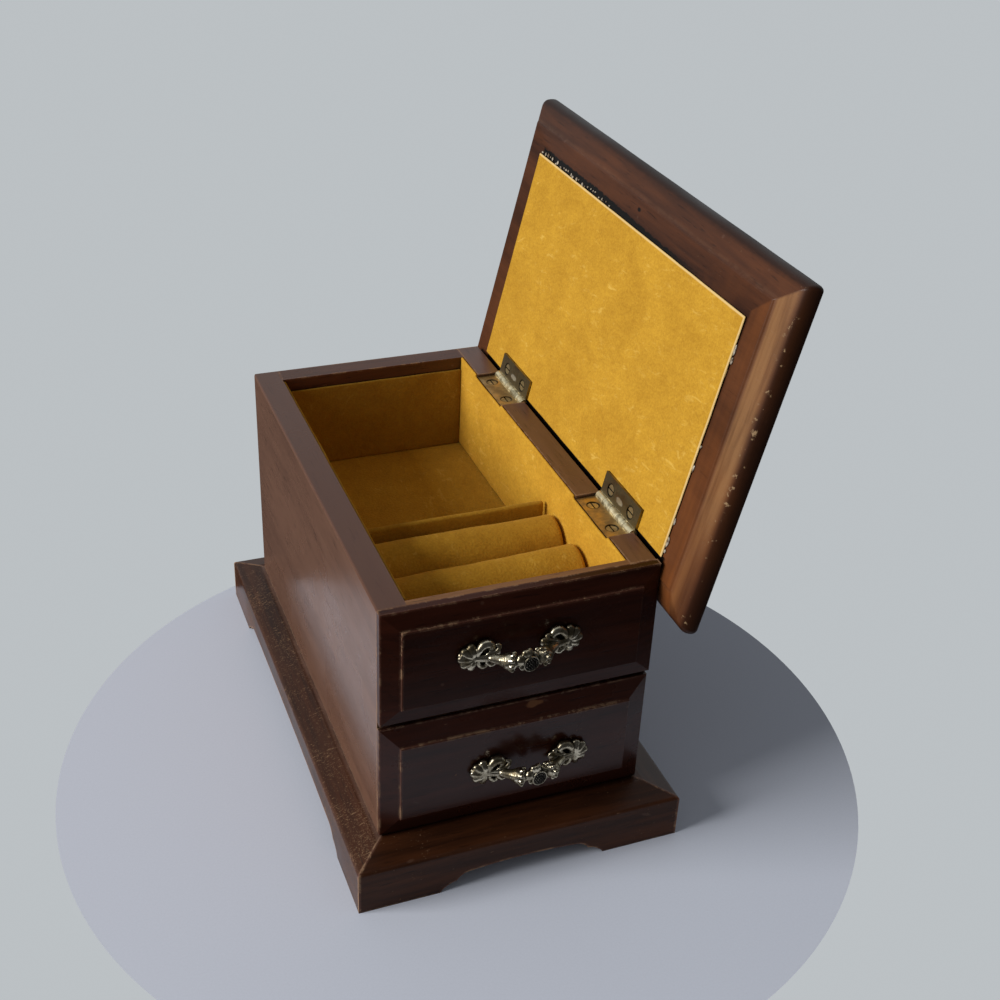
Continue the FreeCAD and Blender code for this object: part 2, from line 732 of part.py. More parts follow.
def make_lid():
    slope_start = lid_under + lid_shoulder
    edge_low = lid_under + lid_bevel_rise
    edge_high = edge_low + lid_edge_height
    field_low = edge_high + lid_top_rise
    footprint = rounded(lid_slab(slope_start, edge_high, 0), lid_corner,
                        lambda low, high: not same(low.z, high.z))
    footprint = rounded(footprint, lid_round, lambda low, high: same(low.z, edge_high))
    bevel = frustum(lid_flat_outline(slope_start), lid_outline(edge_low, 0))
    board = join(
        prism(lid_flat_outline(lid_under), (0, 0, lid_shoulder)),
        join(bevel, lid_slab(edge_low, edge_high, 0)).common(footprint),
        frustum(lid_outline(edge_high, lid_corner), lid_outline(field_low, lid_top_margin)),
        lid_slab(field_low, field_low + panel_shoulder, lid_top_margin))
    velvet = block(-half_width + lid_velvet_left, half_width - lid_velvet_right,
                   front_plane + lid_velvet_front, rear_face - lid_velvet_rear,
                   lid_under - lid_velvet, lid_under)
    cutters = [screw_cutter(lid_screw_point(y), up, screw_length) for y in hinge_screw_points()]
    save("lid_board", [opened(board.cut(cutters))])
    save("lid_velvet_panel", [opened(velvet.cut(cutters))])


os.makedirs("parts", exist_ok=True)
make_plinth()
make_boards()
make_upper_front()
make_drawer()
make_linings()
make_ring_cushion()
make_hinges()
make_lid()
print("lid stands open at", round(lid_open_angle, 3), "degrees")
print("hinge axis at", round(axis_x, 3), round(axis_z, 3))
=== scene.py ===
import json
import math
import random

import bmesh
import bpy
from mathutils import Matrix, Vector, noise


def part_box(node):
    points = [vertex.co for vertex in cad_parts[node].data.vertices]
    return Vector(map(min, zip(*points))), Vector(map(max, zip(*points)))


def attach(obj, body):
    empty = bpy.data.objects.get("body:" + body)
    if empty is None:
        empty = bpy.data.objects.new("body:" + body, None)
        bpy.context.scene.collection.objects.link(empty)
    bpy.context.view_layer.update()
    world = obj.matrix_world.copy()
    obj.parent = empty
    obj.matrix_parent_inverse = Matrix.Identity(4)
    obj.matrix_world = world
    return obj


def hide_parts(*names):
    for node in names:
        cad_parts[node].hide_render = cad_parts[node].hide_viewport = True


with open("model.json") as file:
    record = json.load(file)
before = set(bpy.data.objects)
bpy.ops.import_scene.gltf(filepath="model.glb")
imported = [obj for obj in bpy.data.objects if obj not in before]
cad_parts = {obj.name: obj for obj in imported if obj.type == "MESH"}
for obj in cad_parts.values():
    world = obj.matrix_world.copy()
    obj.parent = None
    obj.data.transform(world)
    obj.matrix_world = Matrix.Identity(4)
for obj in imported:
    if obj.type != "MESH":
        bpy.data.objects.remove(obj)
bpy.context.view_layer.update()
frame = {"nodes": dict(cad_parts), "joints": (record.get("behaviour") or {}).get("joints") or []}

# ---------------- Plinth rails
# Four rails of mahogany, mitred at the corners and sawn out below into bracket feet.
# They are stained dark and lacquered with the case. The slope of the left rail is the most knocked.

MM = 0.001
GRAIN = {"X": (0.07, 1.0, 1.0), "Y": (1.0, 0.07, 1.0), "Z": (1.0, 1.0, 0.07)}
BARE_ROUGHNESS = 0.62
PORE_TONE = (20, 8, 5)
ARRIS_HIGHLIGHT_TONE = (126, 88, 74)
BARE_AND_LIT_TONE = (168, 134, 104)
SCRATCH_TONE = (128, 100, 84)
SPECK_TONE = (148, 116, 88)
CORNER_SHADE_TONE = (14, 6, 4)


def paint(red, green, blue):
    """A display colour, 0 to 255 a channel, as the linear colour that a shader takes."""
    def linear(channel):
        share = channel / 255
        return share / 12.92 if share <= 0.04045 else ((share + 0.055) / 1.055) ** 2.4
    return (linear(red), linear(green), linear(blue), 1.0)


class Step:
    """An output of a shader node. Arithmetic on it adds the nodes that work it out, and a name in
    brackets picks another output of the same node."""

    def __init__(self, socket):
        self.socket = socket
        self.tree = socket.id_data

    def __getitem__(self, name):
        return Step(self.socket.node.outputs[name])

    __add__ = lambda self, other: calc("ADD", self, other)
    __sub__ = lambda self, other: calc("SUBTRACT", self, other)
    __rsub__ = lambda self, other: calc("SUBTRACT", other, self)
    __mul__ = lambda self, other: calc("MULTIPLY", self, other)
    __truediv__ = lambda self, other: calc("DIVIDE", self, other)
    __rtruediv__ = lambda self, other: calc("DIVIDE", other, self)


def wire(sockets, values):
    """Sets named inputs to values, or links steps to them."""
    for name, value in values.items():
        if isinstance(value, Step):
            value.tree.links.new(value.socket, sockets[name])
        else:
            sockets[name].default_value = value


def add(tree, kind, inputs=(), **settings):
    """Adds a shader node, whose inputs take values or other steps, and gives its first output."""
    node = tree.nodes.new("ShaderNode" + kind)
    for name, value in settings.items():
        setattr(node, name, value)
    wire(node.inputs, dict(inputs))
    return Step(node.outputs[0])


def calc(operation, *values):
    """One step of arithmetic."""
    tree = next(value.tree for value in values if isinstance(value, Step))
    return add(tree, "Math", enumerate(values), operation=operation)


def split(place):
    """The X, Y and Z of a place."""
    return add(place.tree, "SeparateXYZ", {0: place})


def stretched(place, stretch):
    """A place multiplied along each axis."""
    return add(place.tree, "VectorMath", {0: place, 1: stretch}, operation="MULTIPLY")


def turned(place, turn):
    """A place turned about the three axes."""
    return add(place.tree, "VectorRotate", {"Vector": place, "Rotation": turn},
               rotation_type="EULER_XYZ")


def distance(place, spot):
    """How far a place lies from a spot."""
    return add(place.tree, "VectorMath", {0: place, 1: spot}, operation="DISTANCE")["Value"]


def ramp(value, low, high, floor=0.0, top=1.0):
    """A value run smoothly from floor to top as it goes from low to high."""
    ends = {"Value": value, "From Min": low, "From Max": high, "To Min": floor, "To Max": top}
    return add(value.tree, "MapRange", ends, interpolation_type="SMOOTHSTEP")


def blend(share, first, second):
    """Two colours mixed."""
    return add(share.tree, "Mix", {"Factor": share, 6: first, 7: second}, data_type="RGBA")[2]


def layers(colour, *coats):
    """A colour under coats of others, each a mask and a display colour."""
    for mask, tone in coats:
        colour = blend(mask, colour, paint(*tone))
    return colour


def cloud(place, seed, size, detail=3.0, rough=0.55, warp=0.0):
    """Soft noise whose features are about size metres across."""
    ends = {"Vector": place, "W": seed, "Scale": 0.5 / size, "Detail": detail,
            "Roughness": rough, "Distortion": warp}
    return add(place.tree, "TexNoise", ends, noise_dimensions="4D")


def nook(tree, reach):
    """How open the surface is: 1 in the open, less in corners."""
    return add(tree, "AmbientOcclusion", {"Distance": reach}, samples=6)["AO"]


def relief(height, depth, strength=0.5):
    """The normal of a surface with some relief."""
    return add(height.tree, "Bump", {"Height": height, "Distance": depth, "Strength": strength})


def effect(**inputs):
    """Makes a node group of a function, with inputs of each kind. The outputs are what the
    function returns: values, or a colour under the name Color."""
    def build(work):
        tree = bpy.data.node_groups.new(work.__name__, "ShaderNodeTree")
        for kind, labels in inputs.items():
            for label in labels.split():
                tree.interface.new_socket(name=label, in_out="INPUT", socket_type="NodeSocket" + kind)
        results = work(Step(tree.nodes.new("NodeGroupInput").outputs[0]))
        for label in results:
            kind = "NodeSocketColor" if label == "Color" else "NodeSocketFloat"
            tree.interface.new_socket(name=label, in_out="OUTPUT", socket_type=kind)
        wire(tree.nodes.new("NodeGroupOutput").inputs, results)
        return tree
    return build


def use(group, place, seed, **inputs):
    """Puts a node group to work."""
    return add(place.tree, "Group", {"Place": place, "Seed": seed, **inputs}, node_tree=group)


@effect(Vector="Place Stretch", Float="Seed")
def straight_grain(given):
    """Grain that runs along one axis: broad figure, fine streaks and open pores."""
    along, seed = stretched(given["Place"], given["Stretch"]), given["Seed"]
    figure = cloud(along, seed, 9 * MM, detail=4, warp=0.5)
    streaks = cloud(along, seed, 1.3 * MM, detail=5, rough=0.62, warp=0.2)
    pores = cloud(along, seed, 0.32 * MM, detail=2, rough=0.5)
    return {"Figure": ramp(figure, 0.36, 0.64), "Streaks": ramp(streaks, 0.3, 0.7),
            "Pores": ramp(pores, 0.6, 0.7)}


@effect(Vector="Place", Float="Seed Radius Amount")
def rubbed_arris(given):
    """Where an outer edge is worn through, broken up along the edge. It also gives the whole edge, and
    which edges face up or left, towards the lamp, to place painted highlights and the wear with them.
    """
    bevel = add(given.tree, "Bevel", {"Radius": given["Radius"]}, samples=6)
    flat = add(given.tree, "NewGeometry")["Normal"]
    turn = add(given.tree, "VectorMath", {0: bevel, 1: flat}, operation="DOT_PRODUCT")["Value"]
    edge = ramp(1.0 - turn, 0.01, 0.16)
    patches = cloud(given["Place"], given["Seed"], 2.2 * MM, detail=6, rough=0.7)
    reach = 0.74 - given["Amount"] * 0.4
    spread = split(bevel)
    lamp_facing = calc("MAXIMUM", spread["X"] * -1.0, spread["Z"])
    return {"Mask": edge * ramp(patches, reach, reach + 0.07), "Edge": edge,
            "Facing Lamp": ramp(lamp_facing, 0.05, 0.3)}


@effect(Vector="Place", Float="Seed Size Amount")
def flecks(given):
    """Specks and short fibres of uneven size, thicker in some places than in others."""
    place, seed = given["Place"], given["Seed"]
    crowd = ramp(cloud(place, seed, 7 * MM, detail=4), 0.35, 0.65, -0.03, 0.03)
    reach = given["Amount"] * -0.23 + 0.82 - crowd
    clear = reach + 0.035
    masks = []
    for turn, stretch, shift in (((0.0, 0.0, 0.0), (1.0, 1.0, 1.0), 0.0),
                                 ((0.4, 0.8, 0.5), (0.18, 1.0, 1.0), 3.0),
                                 ((1.2, 0.3, 1.7), (1.0, 0.18, 1.0), 7.0)):
        grit = cloud(stretched(turned(place, turn), stretch), seed + shift, given["Size"], rough=0.6)
        masks.append(ramp(grit, reach, clear))
    return {"Mask": calc("MAXIMUM", calc("MAXIMUM", masks[0], masks[1]), masks[2])}


@effect(Vector="Place", Float="Seed")
def scratches(given):
    """Thin straight scratches lying in two directions."""
    masks = []
    for turn in ((0.5, 0.9, 0.35), (1.3, 0.2, 1.1)):
        along = stretched(turned(given["Place"], turn), (1.0, 0.05, 1.0))
        gap = add(given.tree, "TexVoronoi", {"Vector": along, "W": given["Seed"], "Scale": 150.0},
                  voronoi_dimensions="4D")
        masks.append(ramp(gap, 0.13, 0.07))
    return {"Mask": calc("MAXIMUM", *masks)}


def start_material(name):
    """A new material, its shader's inputs and the piece's own coordinates."""
    material = bpy.data.materials.new(name)
    material.use_nodes = True
    tree = material.node_tree
    return material, tree.nodes["Principled BSDF"].inputs, add(tree, "TexCoord")["Object"]


def so_far(shader, name):
    """What an input of a shader is linked to."""
    return Step(shader[name].links[0].from_socket)


def reopen(material):
    """The shader's inputs of a finished material, the piece's own coordinates and its colour."""
    tree = material.node_tree
    shader = tree.nodes["Principled BSDF"].inputs
    return shader, add(tree, "TexCoord")["Object"], so_far(shader, "Base Color")


def mahogany(name, grain, seed, deep, warm, worn, chips, coat, shine,
             chip_size=0.3 * MM, rough=0.27, arris_highlight=0.55, shaded_side_share=1.0):
    """Lacquered mahogany. worn says how far the arrises are worn through, chips how many specks it has,
    and coat, shine and rough how much of the polish is left. The next to last argument sets a painted
    highlight along the arrises, and the last the share of that highlight and of the worn wood on
    arrises that face down or right, away from the lamp. Corners and hollows are darkened with painted
    shade."""
    material, shader, place = start_material(name)
    wood = use(straight_grain, place, seed, Stretch=GRAIN[grain])
    rub = use(rubbed_arris, place, seed, Radius=1.5 * MM, Amount=worn)
    spots = use(flecks, place, seed, Size=chip_size, Amount=chips)
    lines = use(scratches, place, seed)
    tone = wood["Streaks"] * 0.45 + wood["Figure"] * 0.55
    # Arrises that face up or left, towards the lamp, take the full painted highlight and wear; the
    # others take only the shaded-side share.
    lamp_side = rub["Facing Lamp"] * (1.0 - shaded_side_share) + shaded_side_share
    bare_and_lit = lamp_side * rub["Mask"]
    colour = layers(
        blend(tone, paint(*deep), paint(*warm)),
        (wood["Pores"] * 0.55, PORE_TONE),
        # A pale tint along every arris: painted highlight.
        (rub["Edge"] * (lamp_side * arris_highlight), ARRIS_HIGHLIGHT_TONE),
        # Patches worn through to pale wood, real wear, but shown mostly where the arris faces the lamp.
        (bare_and_lit * 0.9, BARE_AND_LIT_TONE),
        (lines * 0.16, SCRATCH_TONE),
        (spots * 0.8, SPECK_TONE),
        # Dark in the corners and hollows of the wood: painted shade.
        (ramp(nook(place.tree, 3.0 * MM), 0.72, 0.42, 0.0, 0.85), CORNER_SHADE_TONE))
    bare_and_lit = calc("MAXIMUM", bare_and_lit, spots)
    smears = cloud(place, seed, 14 * MM, detail=4)
    matt = bare_and_lit * (BARE_ROUGHNESS - rough) + (ramp(smears, 0.3, 0.7, -0.04, 0.07) + rough)
    dents = wood["Streaks"] * 0.35 + lines * -0.5 + wood["Pores"] * -0.5 + bare_and_lit * -1.2
    wire(shader, {"Base Color": colour, "Roughness": matt, "Coat Weight": (1.0 - bare_and_lit) * coat,
                  "Coat Roughness": 0.16, "Specular IOR Level": shine,
                  "Normal": relief(dents, 0.05 * MM)})
    return material


def dress(material, *nodes):
    """Gives CAD pieces their finish."""
    for name in nodes:
        for socket in frame["nodes"][name].material_slots:
            socket.material = material


PLINTH_DEEP = (42, 22, 12)
PLINTH_WARM = (84, 47, 26)
LEDGE_OUTER = -0.0499
LEDGE_INNER = -0.0485


def paint_ledge_highlight(material):
    """Paints a pale highlight along the narrow ledge at the foot of the case's left side, broken into
    patches.
    """
    shader, place, colour = reopen(material)
    ledge = ramp(split(place)["X"], LEDGE_OUTER, LEDGE_INNER)
    patchy = ramp(cloud(place, 9.0, 9 * MM, detail=5, rough=0.7), 0.3, 0.7, 0.25, 0.7)
    wire(shader, {"Base Color": layers(colour, (ledge * patchy, (134, 102, 88)))})


for side, grain, seed, worn, chips, fleck, coat, shine in (
        ("front", "X", 1.3, 0.62, 0.5, 0.3, 0.0, 0.16), ("rear", "X", 2.1, 0.5, 0.4, 0.3, 0.05, 0.2),
        ("left", "Y", 3.7, 0.85, 0.83, 0.22, 0.06, 0.22),
        ("right", "Y", 4.9, 0.55, 0.6, 0.3, 0.1, 0.3)):
    rail_wood = mahogany("plinth_" + side, grain, seed, PLINTH_DEEP, PLINTH_WARM, worn, chips,
                         coat, shine, chip_size=fleck * MM, rough=0.34)
    # The left rail has a painted highlight along the ledge under the case.
    if side == "left":
        paint_ledge_highlight(rail_wood)
    dress(rail_wood, "plinth_" + side + "_rail")

# ---------------- Plinth screws
# Turned steel screws with round sunk heads, driven up through the plinth into the boards.
# They are plain zinc-grey steel, dulled all over.


@effect(Vector="Place", Float="Seed Corner", Color="Clean Dull Dirt")
def tarnish(given):
    """Metal that has dulled unevenly, with fine rub marks and dirt in its corners."""
    place, seed = given["Place"], given["Seed"]
    dull = ramp(cloud(place, seed, 2.4 * MM, detail=5, rough=0.65), 0.36, 0.64)
    grit = cloud(place, seed, 0.3 * MM)
    lines = use(scratches, place, seed)
    dirt = ramp(nook(given.tree, given["Corner"]), 0.86, 0.42) * ramp(grit, 0.2, 0.6, 0.6, 1.0)
    colour = blend(dull, given["Clean"], given["Dull"])
    colour = blend(lines * 0.35, colour, given["Clean"])
    return {"Color": blend(dirt, colour, given["Dirt"]), "Roughness": dirt * 0.3 + (dull * 0.2 + 0.3),
            "Height": lines * -0.6 + grit}


def old_metal(name, seed, clean, dull, dirt, corner=0.8 * MM, depth=0.03 * MM, strength=0.5):
    """A worn metal finish, darker where dirt has gathered."""
    material, shader, place = start_material(name)
    skin = use(tarnish, place, seed, Clean=paint(*clean), Dull=paint(*dull), Dirt=paint(*dirt),
               Corner=corner)
    wire(shader, {"Base Color": skin["Color"], "Roughness": skin["Roughness"], "Metallic": 1.0,
                  "Normal": relief(skin["Height"], depth, strength)})
    return material


steel = old_metal("screw_steel", 5.5, (172, 170, 164), (120, 117, 110), (34, 30, 26))
dress(steel, "plinth_screws")

# ---------------- Case boards
# Two side boards and a rear board of solid mahogany, square-cut and lightly rounded,
# stained and lacquered outside and over the rim.

RIM_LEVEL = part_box("left_side_board")[1][2]


def rub_rim(material):
    """Takes the polish off the top of the board, where hands have browned the wood beneath it."""
    shader, place, colour = reopen(material)
    rim = ramp(split(place)["Z"], RIM_LEVEL - 0.6 * MM, RIM_LEVEL - 0.3 * MM)
    wire(shader, {"Base Color": layers(colour, (rim * 0.75, (84, 46, 26))),
                  "Coat Weight": so_far(shader, "Coat Weight") * (1.0 - rim)})


for name, node, grain, seed, deep, warm, worn, chips, coat, shine in (
        ("case_left", "left_side_board", "Y", 6.2, (98, 69, 55), (118, 85, 68), 0.78, 0.3, 0.2, 0.45),
        ("case_right", "right_side_board", "Y", 7.4, (90, 60, 46), (119, 84, 66), 0.75, 0.5, 0.25, 0.3),
        ("case_rear", "rear_board", "X", 8.8, (66, 38, 27), (98, 60, 42), 0.6, 0.35, 0.15, 0.2)):
    board_wood = mahogany(name, grain, seed, deep, warm, worn, chips, coat, shine)
    if name == "case_left":
        rub_rim(board_wood)
    dress(board_wood, node)

# ---------------- Inner boards
# The case's bottom, the floor over the drawer bay and the compartment's front wall.
# They are plain, paler boards, sealed with one thin coat and left matt.

INNER_DEEP = (104, 66, 38)
INNER_PALE = (158, 112, 70)
INNER_PORES = (58, 34, 20)
INNER_BARE = (176, 138, 100)


def plain_wood(name, grain, seed):
    """Sealed but unpolished wood."""
    material, shader, place = start_material(name)
    wood = use(straight_grain, place, seed, Stretch=GRAIN[grain])
    rub = use(rubbed_arris, place, seed, Radius=0.5 * MM, Amount=0.4)["Mask"]
    tone = wood["Streaks"] * 0.5 + wood["Figure"] * 0.5
    colour = layers(blend(tone, paint(*INNER_DEEP), paint(*INNER_PALE)),
                    (wood["Pores"] * 0.6, INNER_PORES), (rub * 0.5, INNER_BARE))
    dents = wood["Pores"] * -0.8 + wood["Streaks"] * 0.5
    wire(shader, {"Base Color": colour, "Roughness": ramp(wood["Figure"], 0.0, 1.0, 0.5, 0.66),
                  "Normal": relief(dents, 0.06 * MM, 0.6)})
    return material


for name, board, grain, seed in (
        ("bottom_board", "case_bottom_board", "Y", 9.1),
        ("bay_ceiling", "compartment_floor", "Y", 10.7),
        ("front_wall", "compartment_front_wall", "X", 11.2)):
    dress(plain_wood(name, grain, seed), board)

# ---------------- Upper front
# A false front of mahogany with a raised field: sloped margins step up to a square shoulder.
# The lacquer is worn through in places along the shoulders of the field, and the shoulders that face
# up or left carry a painted highlight.

FRONT_DEEP = (40, 17, 9)
FRONT_WARM = (66, 29, 16)
# The share of the painted arris highlight and wear that the fronts keep on arrises facing down or
# right.
FRONT_SHADED_SIDE_SHARE = 0.12

dress(mahogany("upper_front", "X", 12.6, FRONT_DEEP, FRONT_WARM, worn=0.6, chips=0.3, coat=0.06,
               shine=0.12, arris_highlight=0.5, shaded_side_share=FRONT_SHADED_SIDE_SHARE), "upper_false_front")

# ---------------- Drawer front
# The drawer's face is a raised panel like the one above it, in the same lacquered mahogany,
# fixed over the front of the drawer box.

CHIP = Vector((0.006, -0.0844, 0.0632))
CHIP_STRETCH = Vector((0.45, 1.0, 1.0))


def drawer_wood():
    """The drawer's mahogany, with a shallow chip in the top margin where nails caught it."""
    material = mahogany("drawer_front", "X", 13.9, FRONT_DEEP, FRONT_WARM, worn=0.65, chips=0.35,
                        coat=0.22, shine=0.24, shaded_side_share=FRONT_SHADED_SIDE_SHARE)
    shader, place, colour = reopen(material)
    away = distance(stretched(place, CHIP_STRETCH), CHIP * CHIP_STRETCH)
    ragged = cloud(place, 3.0, 1.1 * MM, detail=4)
    chip = ramp(ragged * (1.6 * MM) + away, 2.3 * MM, 1.8 * MM, 0.0, 0.75)
    wire(shader, {"Base Color": layers(colour, (chip, (124, 82, 52)))})
    return material


dress(drawer_wood(), "drawer_face")

# ---------------- Drawer box
# Inner front, sides, back and bottom of plain thin boards, grooved together and glued.
# They are sealed and left matt like the inner boards of the case.

for board, grain, seed in (
        ("drawer_inner_front", "X", 15.1), ("drawer_left_side", "Y", 16.4),
        ("drawer_right_side", "Y", 17.8), ("drawer_back", "X", 18.3), ("drawer_bottom", "Y", 19.6)):
    dress(plain_wood(board + "_wood", grain, seed), board)

# ---------------- Compartment linings
# Cards covered with gold cotton velvet, their edges folded over, pushed in along the walls
# and the floor of the compartment. The pile is brushed and pressed in many directions.

FABRIC_DARK = (156, 104, 14)
FABRIC_LIGHT = (233, 181, 60)
FABRIC_MARK = (240, 198, 96)
FABRIC_LINT = (84, 62, 34)
FABRIC_SHEEN = (255, 206, 100)


@effect(Vector="Place", Float="Seed", Color="Dark Light Mark")
def brushed_pile(given):
    """Velvet pile: pressed patches, brush strokes, streaks combed up and fine fibre ends."""
    place, seed = given["Place"], given["Seed"]
    patches = ramp(cloud(place, seed, 10 * MM, detail=4, warp=0.8), 0.3, 0.7)
    clumps = ramp(cloud(place, seed, 1.4 * MM, detail=5, rough=0.7), 0.2, 0.8)
    fibre = ramp(cloud(place, seed, 0.4 * MM), 0.2, 0.8)
    streaks = []
    for turn, shift in (((0.5, 0.4, 0.3), 2.0), ((1.1, 1.4, 0.9), 5.0)):
        swept = stretched(turned(place, turn), (1.0, 0.28, 1.0))
        streaks.append(cloud(swept, seed + shift, 1.3 * MM, detail=5, rough=0.6, warp=1.0))
    strokes = ramp(streaks[0], 0.3, 0.7)
    tone = patches * 0.18 + strokes * 0.13 + clumps * 0.08 + fibre * 0.3 + 0.17
    combed = ramp(streaks[1], 0.55, 0.7) * ramp(patches, 0.3, 0.7, 0.05, 0.5)
    return {"Color": blend(combed, blend(tone, given["Dark"], given["Light"]), given["Mark"]),
            "Height": strokes * 0.5 + clumps * 0.6 + fibre}


def velvet(name, seed, lint=0.0, painted_shade=1.0):
    """Gold velvet. lint says how much dust and grit lies in the pile. The last factor scales the colour
    as painted light and shade, by how much light reaches the piece."""
    material, shader, place = start_material(name)
    dark, light, mark = [[channel * painted_shade for channel in paint(*tone)[:3]] + [1.0]
                         for tone in (FABRIC_DARK, FABRIC_LIGHT, FABRIC_MARK)]
    pile = use(brushed_pile, place, seed, Dark=dark, Light=light, Mark=mark)
    rub = use(rubbed_arris, place, seed, Radius=0.6 * MM, Amount=0.5)["Edge"]
    specks = use(flecks, place, seed, Size=0.5 * MM, Amount=lint)
    colour = layers(blend(rub * 0.6, pile["Color"], mark), (specks * 0.6, FABRIC_LINT))
    wire(shader, {"Base Color": colour, "Roughness": pile["Height"] * 0.08 + 0.82,
                  "Specular IOR Level": 0.2, "Sheen Weight": 0.28, "Sheen Roughness": 0.42,
                  "Sheen Tint": paint(*FABRIC_SHEEN),
                  "Normal": relief(pile["Height"], 0.16 * MM, 0.6)})
    return material


def finish_piece(name, bm, body, material, nodes=(), move=None, sharp=None):
    """Makes an object of a mesh, gives it a material, and lets it ride on its body."""
    bmesh.ops.recalc_face_normals(bm, faces=bm.faces)
    if move is not None:
        bm.transform(move)
    mesh = bpy.data.meshes.new(name)
    bm.to_mesh(mesh)
    bm.free()
    for face in mesh.polygons:
        face.use_smooth = True
    if sharp is not None:
        mesh.set_sharp_from_angle(angle=math.radians(sharp))
    mesh.materials.append(material)
    piece = bpy.data.objects.new(name, mesh)
    bpy.context.scene.collection.objects.link(piece)
    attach(piece, body)
    if nodes:
        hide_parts(*nodes)
    return piece


CUT_STEP = 2.5 * MM
PUFF_WAVE = 110

# noise_vector draws its offsets from the clock unless its seed is set.
noise.seed_set(7)


def covered_card(outline, low, high, thin, fold, puff, seed):
    """A card wrapped in velvet. The outline is drawn across the thin axis, from low to high along it;
    the arrises are folded round by fold, and the faces are uneven by puff."""
    wide = [axis for axis in range(3) if axis != thin]
    bm = bmesh.new()
    ring = []
    for across, up in outline:
        place = Vector((0, 0, 0))
        place[wide[0]], place[wide[1]], place[thin] = across, up, low
        ring.append(bm.verts.new(place))
    bottom = bm.faces.new(ring)
    lift = Vector((0, 0, 0))
    lift[thin] = high - low
    top = bmesh.ops.extrude_face_region(bm, geom=[bottom])["geom"]
    bmesh.ops.translate(bm, vec=lift, verts=[v for v in top if isinstance(v, bmesh.types.BMVert)])
    bmesh.ops.recalc_face_normals(bm, faces=bm.faces)
    bmesh.ops.bevel(bm, geom=bm.edges[:], offset=fold, segments=3, profile=0.5,
                    affect="EDGES", clamp_overlap=True)
    for axis in wide:
        start = min(v.co[axis] for v in bm.verts)
        end = max(v.co[axis] for v in bm.verts)
        count = max(2, round((end - start) / CUT_STEP))
        for cut in range(1, count):
            spot, across = Vector((0, 0, 0)), Vector((0, 0, 0))
            spot[axis] = start + (end - start) * cut / count
            across[axis] = 1
            bmesh.ops.bisect_plane(bm, geom=bm.verts[:] + bm.edges[:] + bm.faces[:],
                                   plane_co=spot, plane_no=across, dist=1e-6)
    for vert in bm.verts:
        drift = noise.noise_vector(vert.co * PUFF_WAVE + Vector((seed, seed * 2, seed * 3)))
        vert.co[thin] += drift[thin] * puff
        for axis in wide:
            vert.co[axis] += drift[axis] * puff * 0.7
    return bm


def rectangle(low, high, thin, rise=0.0):
    """The outline of a box across its thin axis, with its top raised."""
    first, second = [axis for axis in range(3) if axis != thin]
    top = high[second] + rise
    return [(low[first], low[second]), (high[first], low[second]),
            (high[first], top), (low[first], top)]


CARD_FOLD = 0.45 * MM
CARD_PUFF = 0.14 * MM
WALL_MARGIN = 0.1 * MM
LEFT_SINK = 0.6 * MM
NOTCH_GAP = 0.3 * MM
NOTCH_DEPTH = 1.2 * MM


def lay_card(node, thin, seed, fabric, painted_shade, lint=0.0, body="case", margin=0.0, fold=CARD_FOLD,
             puff=CARD_PUFF, outline=None, rise=0.0, lean=0.0):
    """Covers the card of a CAD piece with velvet, short of its faces by a margin. Its top may
    stand higher by rise and lean over by lean."""
    low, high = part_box(node)
    bm = covered_card(outline or rectangle(low, high, thin, rise), low[thin] + margin,
                      high[thin] - margin, thin, fold, puff, seed)
    for vert in bm.verts:
        vert.co[thin] += lean * (vert.co.z - low.z) / (high.z - low.z)
    cloth = velvet(fabric + "_fabric", seed, lint, painted_shade)
    return finish_piece(node + "_velvet", bm, body, cloth, [node], sharp=50)


# Each piece's velvet is darkened by a factor of its own: painted shade, deepest on the rear lining.
for node, thin, seed, lint, painted_shade, rise in (
        ("floor_lining", 2, 21.5, 0.5, 0.75, 0.0), ("left_lining", 0, 22.9, 0.0, 0.8, -LEFT_SINK),
        ("rear_lining", 1, 23.2, 0.0, 0.5, 0.0)):
    lay_card(node, thin, seed, node, painted_shade, lint, margin=WALL_MARGIN, rise=rise)

# The right lining is notched round the hinges, so its outline steps down at each leaf.
low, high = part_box("right_lining")
outline = [(low.y, low.z), (high.y, low.z), (high.y, high.z)]
for leaf in ("rear_hinge_case_leaf", "front_hinge_case_leaf"):
    leaf_low, leaf_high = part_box(leaf)
    start, end = leaf_high.y + NOTCH_GAP, leaf_low.y - NOTCH_GAP
    outline += [(start, high.z), (start, high.z - NOTCH_DEPTH),
                (end, high.z - NOTCH_DEPTH), (end, high.z)]
outline.append((low.y, high.z))
# The right lining's velvet is lightened a little, as painted light.
lay_card("right_lining", 0, 24.6, "right_lining", 1.08, margin=WALL_MARGIN, outline=outline)

# ---------------- Compartment divider
# A stiff card wrapped in the same velvet, standing across the compartment behind the rings.
# It is only pushed in, so it leans back a little and stands slightly high.

DIVIDER_LEAN = 1.2 * MM
DIVIDER_RISE = 0.8 * MM

# The divider's velvet is darkened as painted shade.
lay_card("compartment_divider", 1, 25.3, "divider", 0.7, margin=WALL_MARGIN, fold=0.9 * MM,
         puff=0.25 * MM, rise=DIVIDER_RISE, lean=DIVIDER_LEAN)

# ---------------- Ring cushion
# Three foam rolls wrapped in velvet, lying side by side on a thin padded base. Rings are held
# in the grooves between the rolls. The cloth is tucked in at the ends and underneath.

ROLL_AROUND = 48
ROLL_ALONG = 44
ROLL_END = 1.5 * MM
ROLL_END_STEPS = (0.0, 0.08, 0.3, 0.62, 1.0)
ROLL_SLACK = 0.3 * MM


def bridge(bm, rings):
    """Joins rings of vertices into a tube."""
    for first, second in zip(rings, rings[1:]):
        for i in range(len(first)):
            j = (i + 1) % len(first)
            bm.faces.new((first[i], first[j], second[j], second[i]))


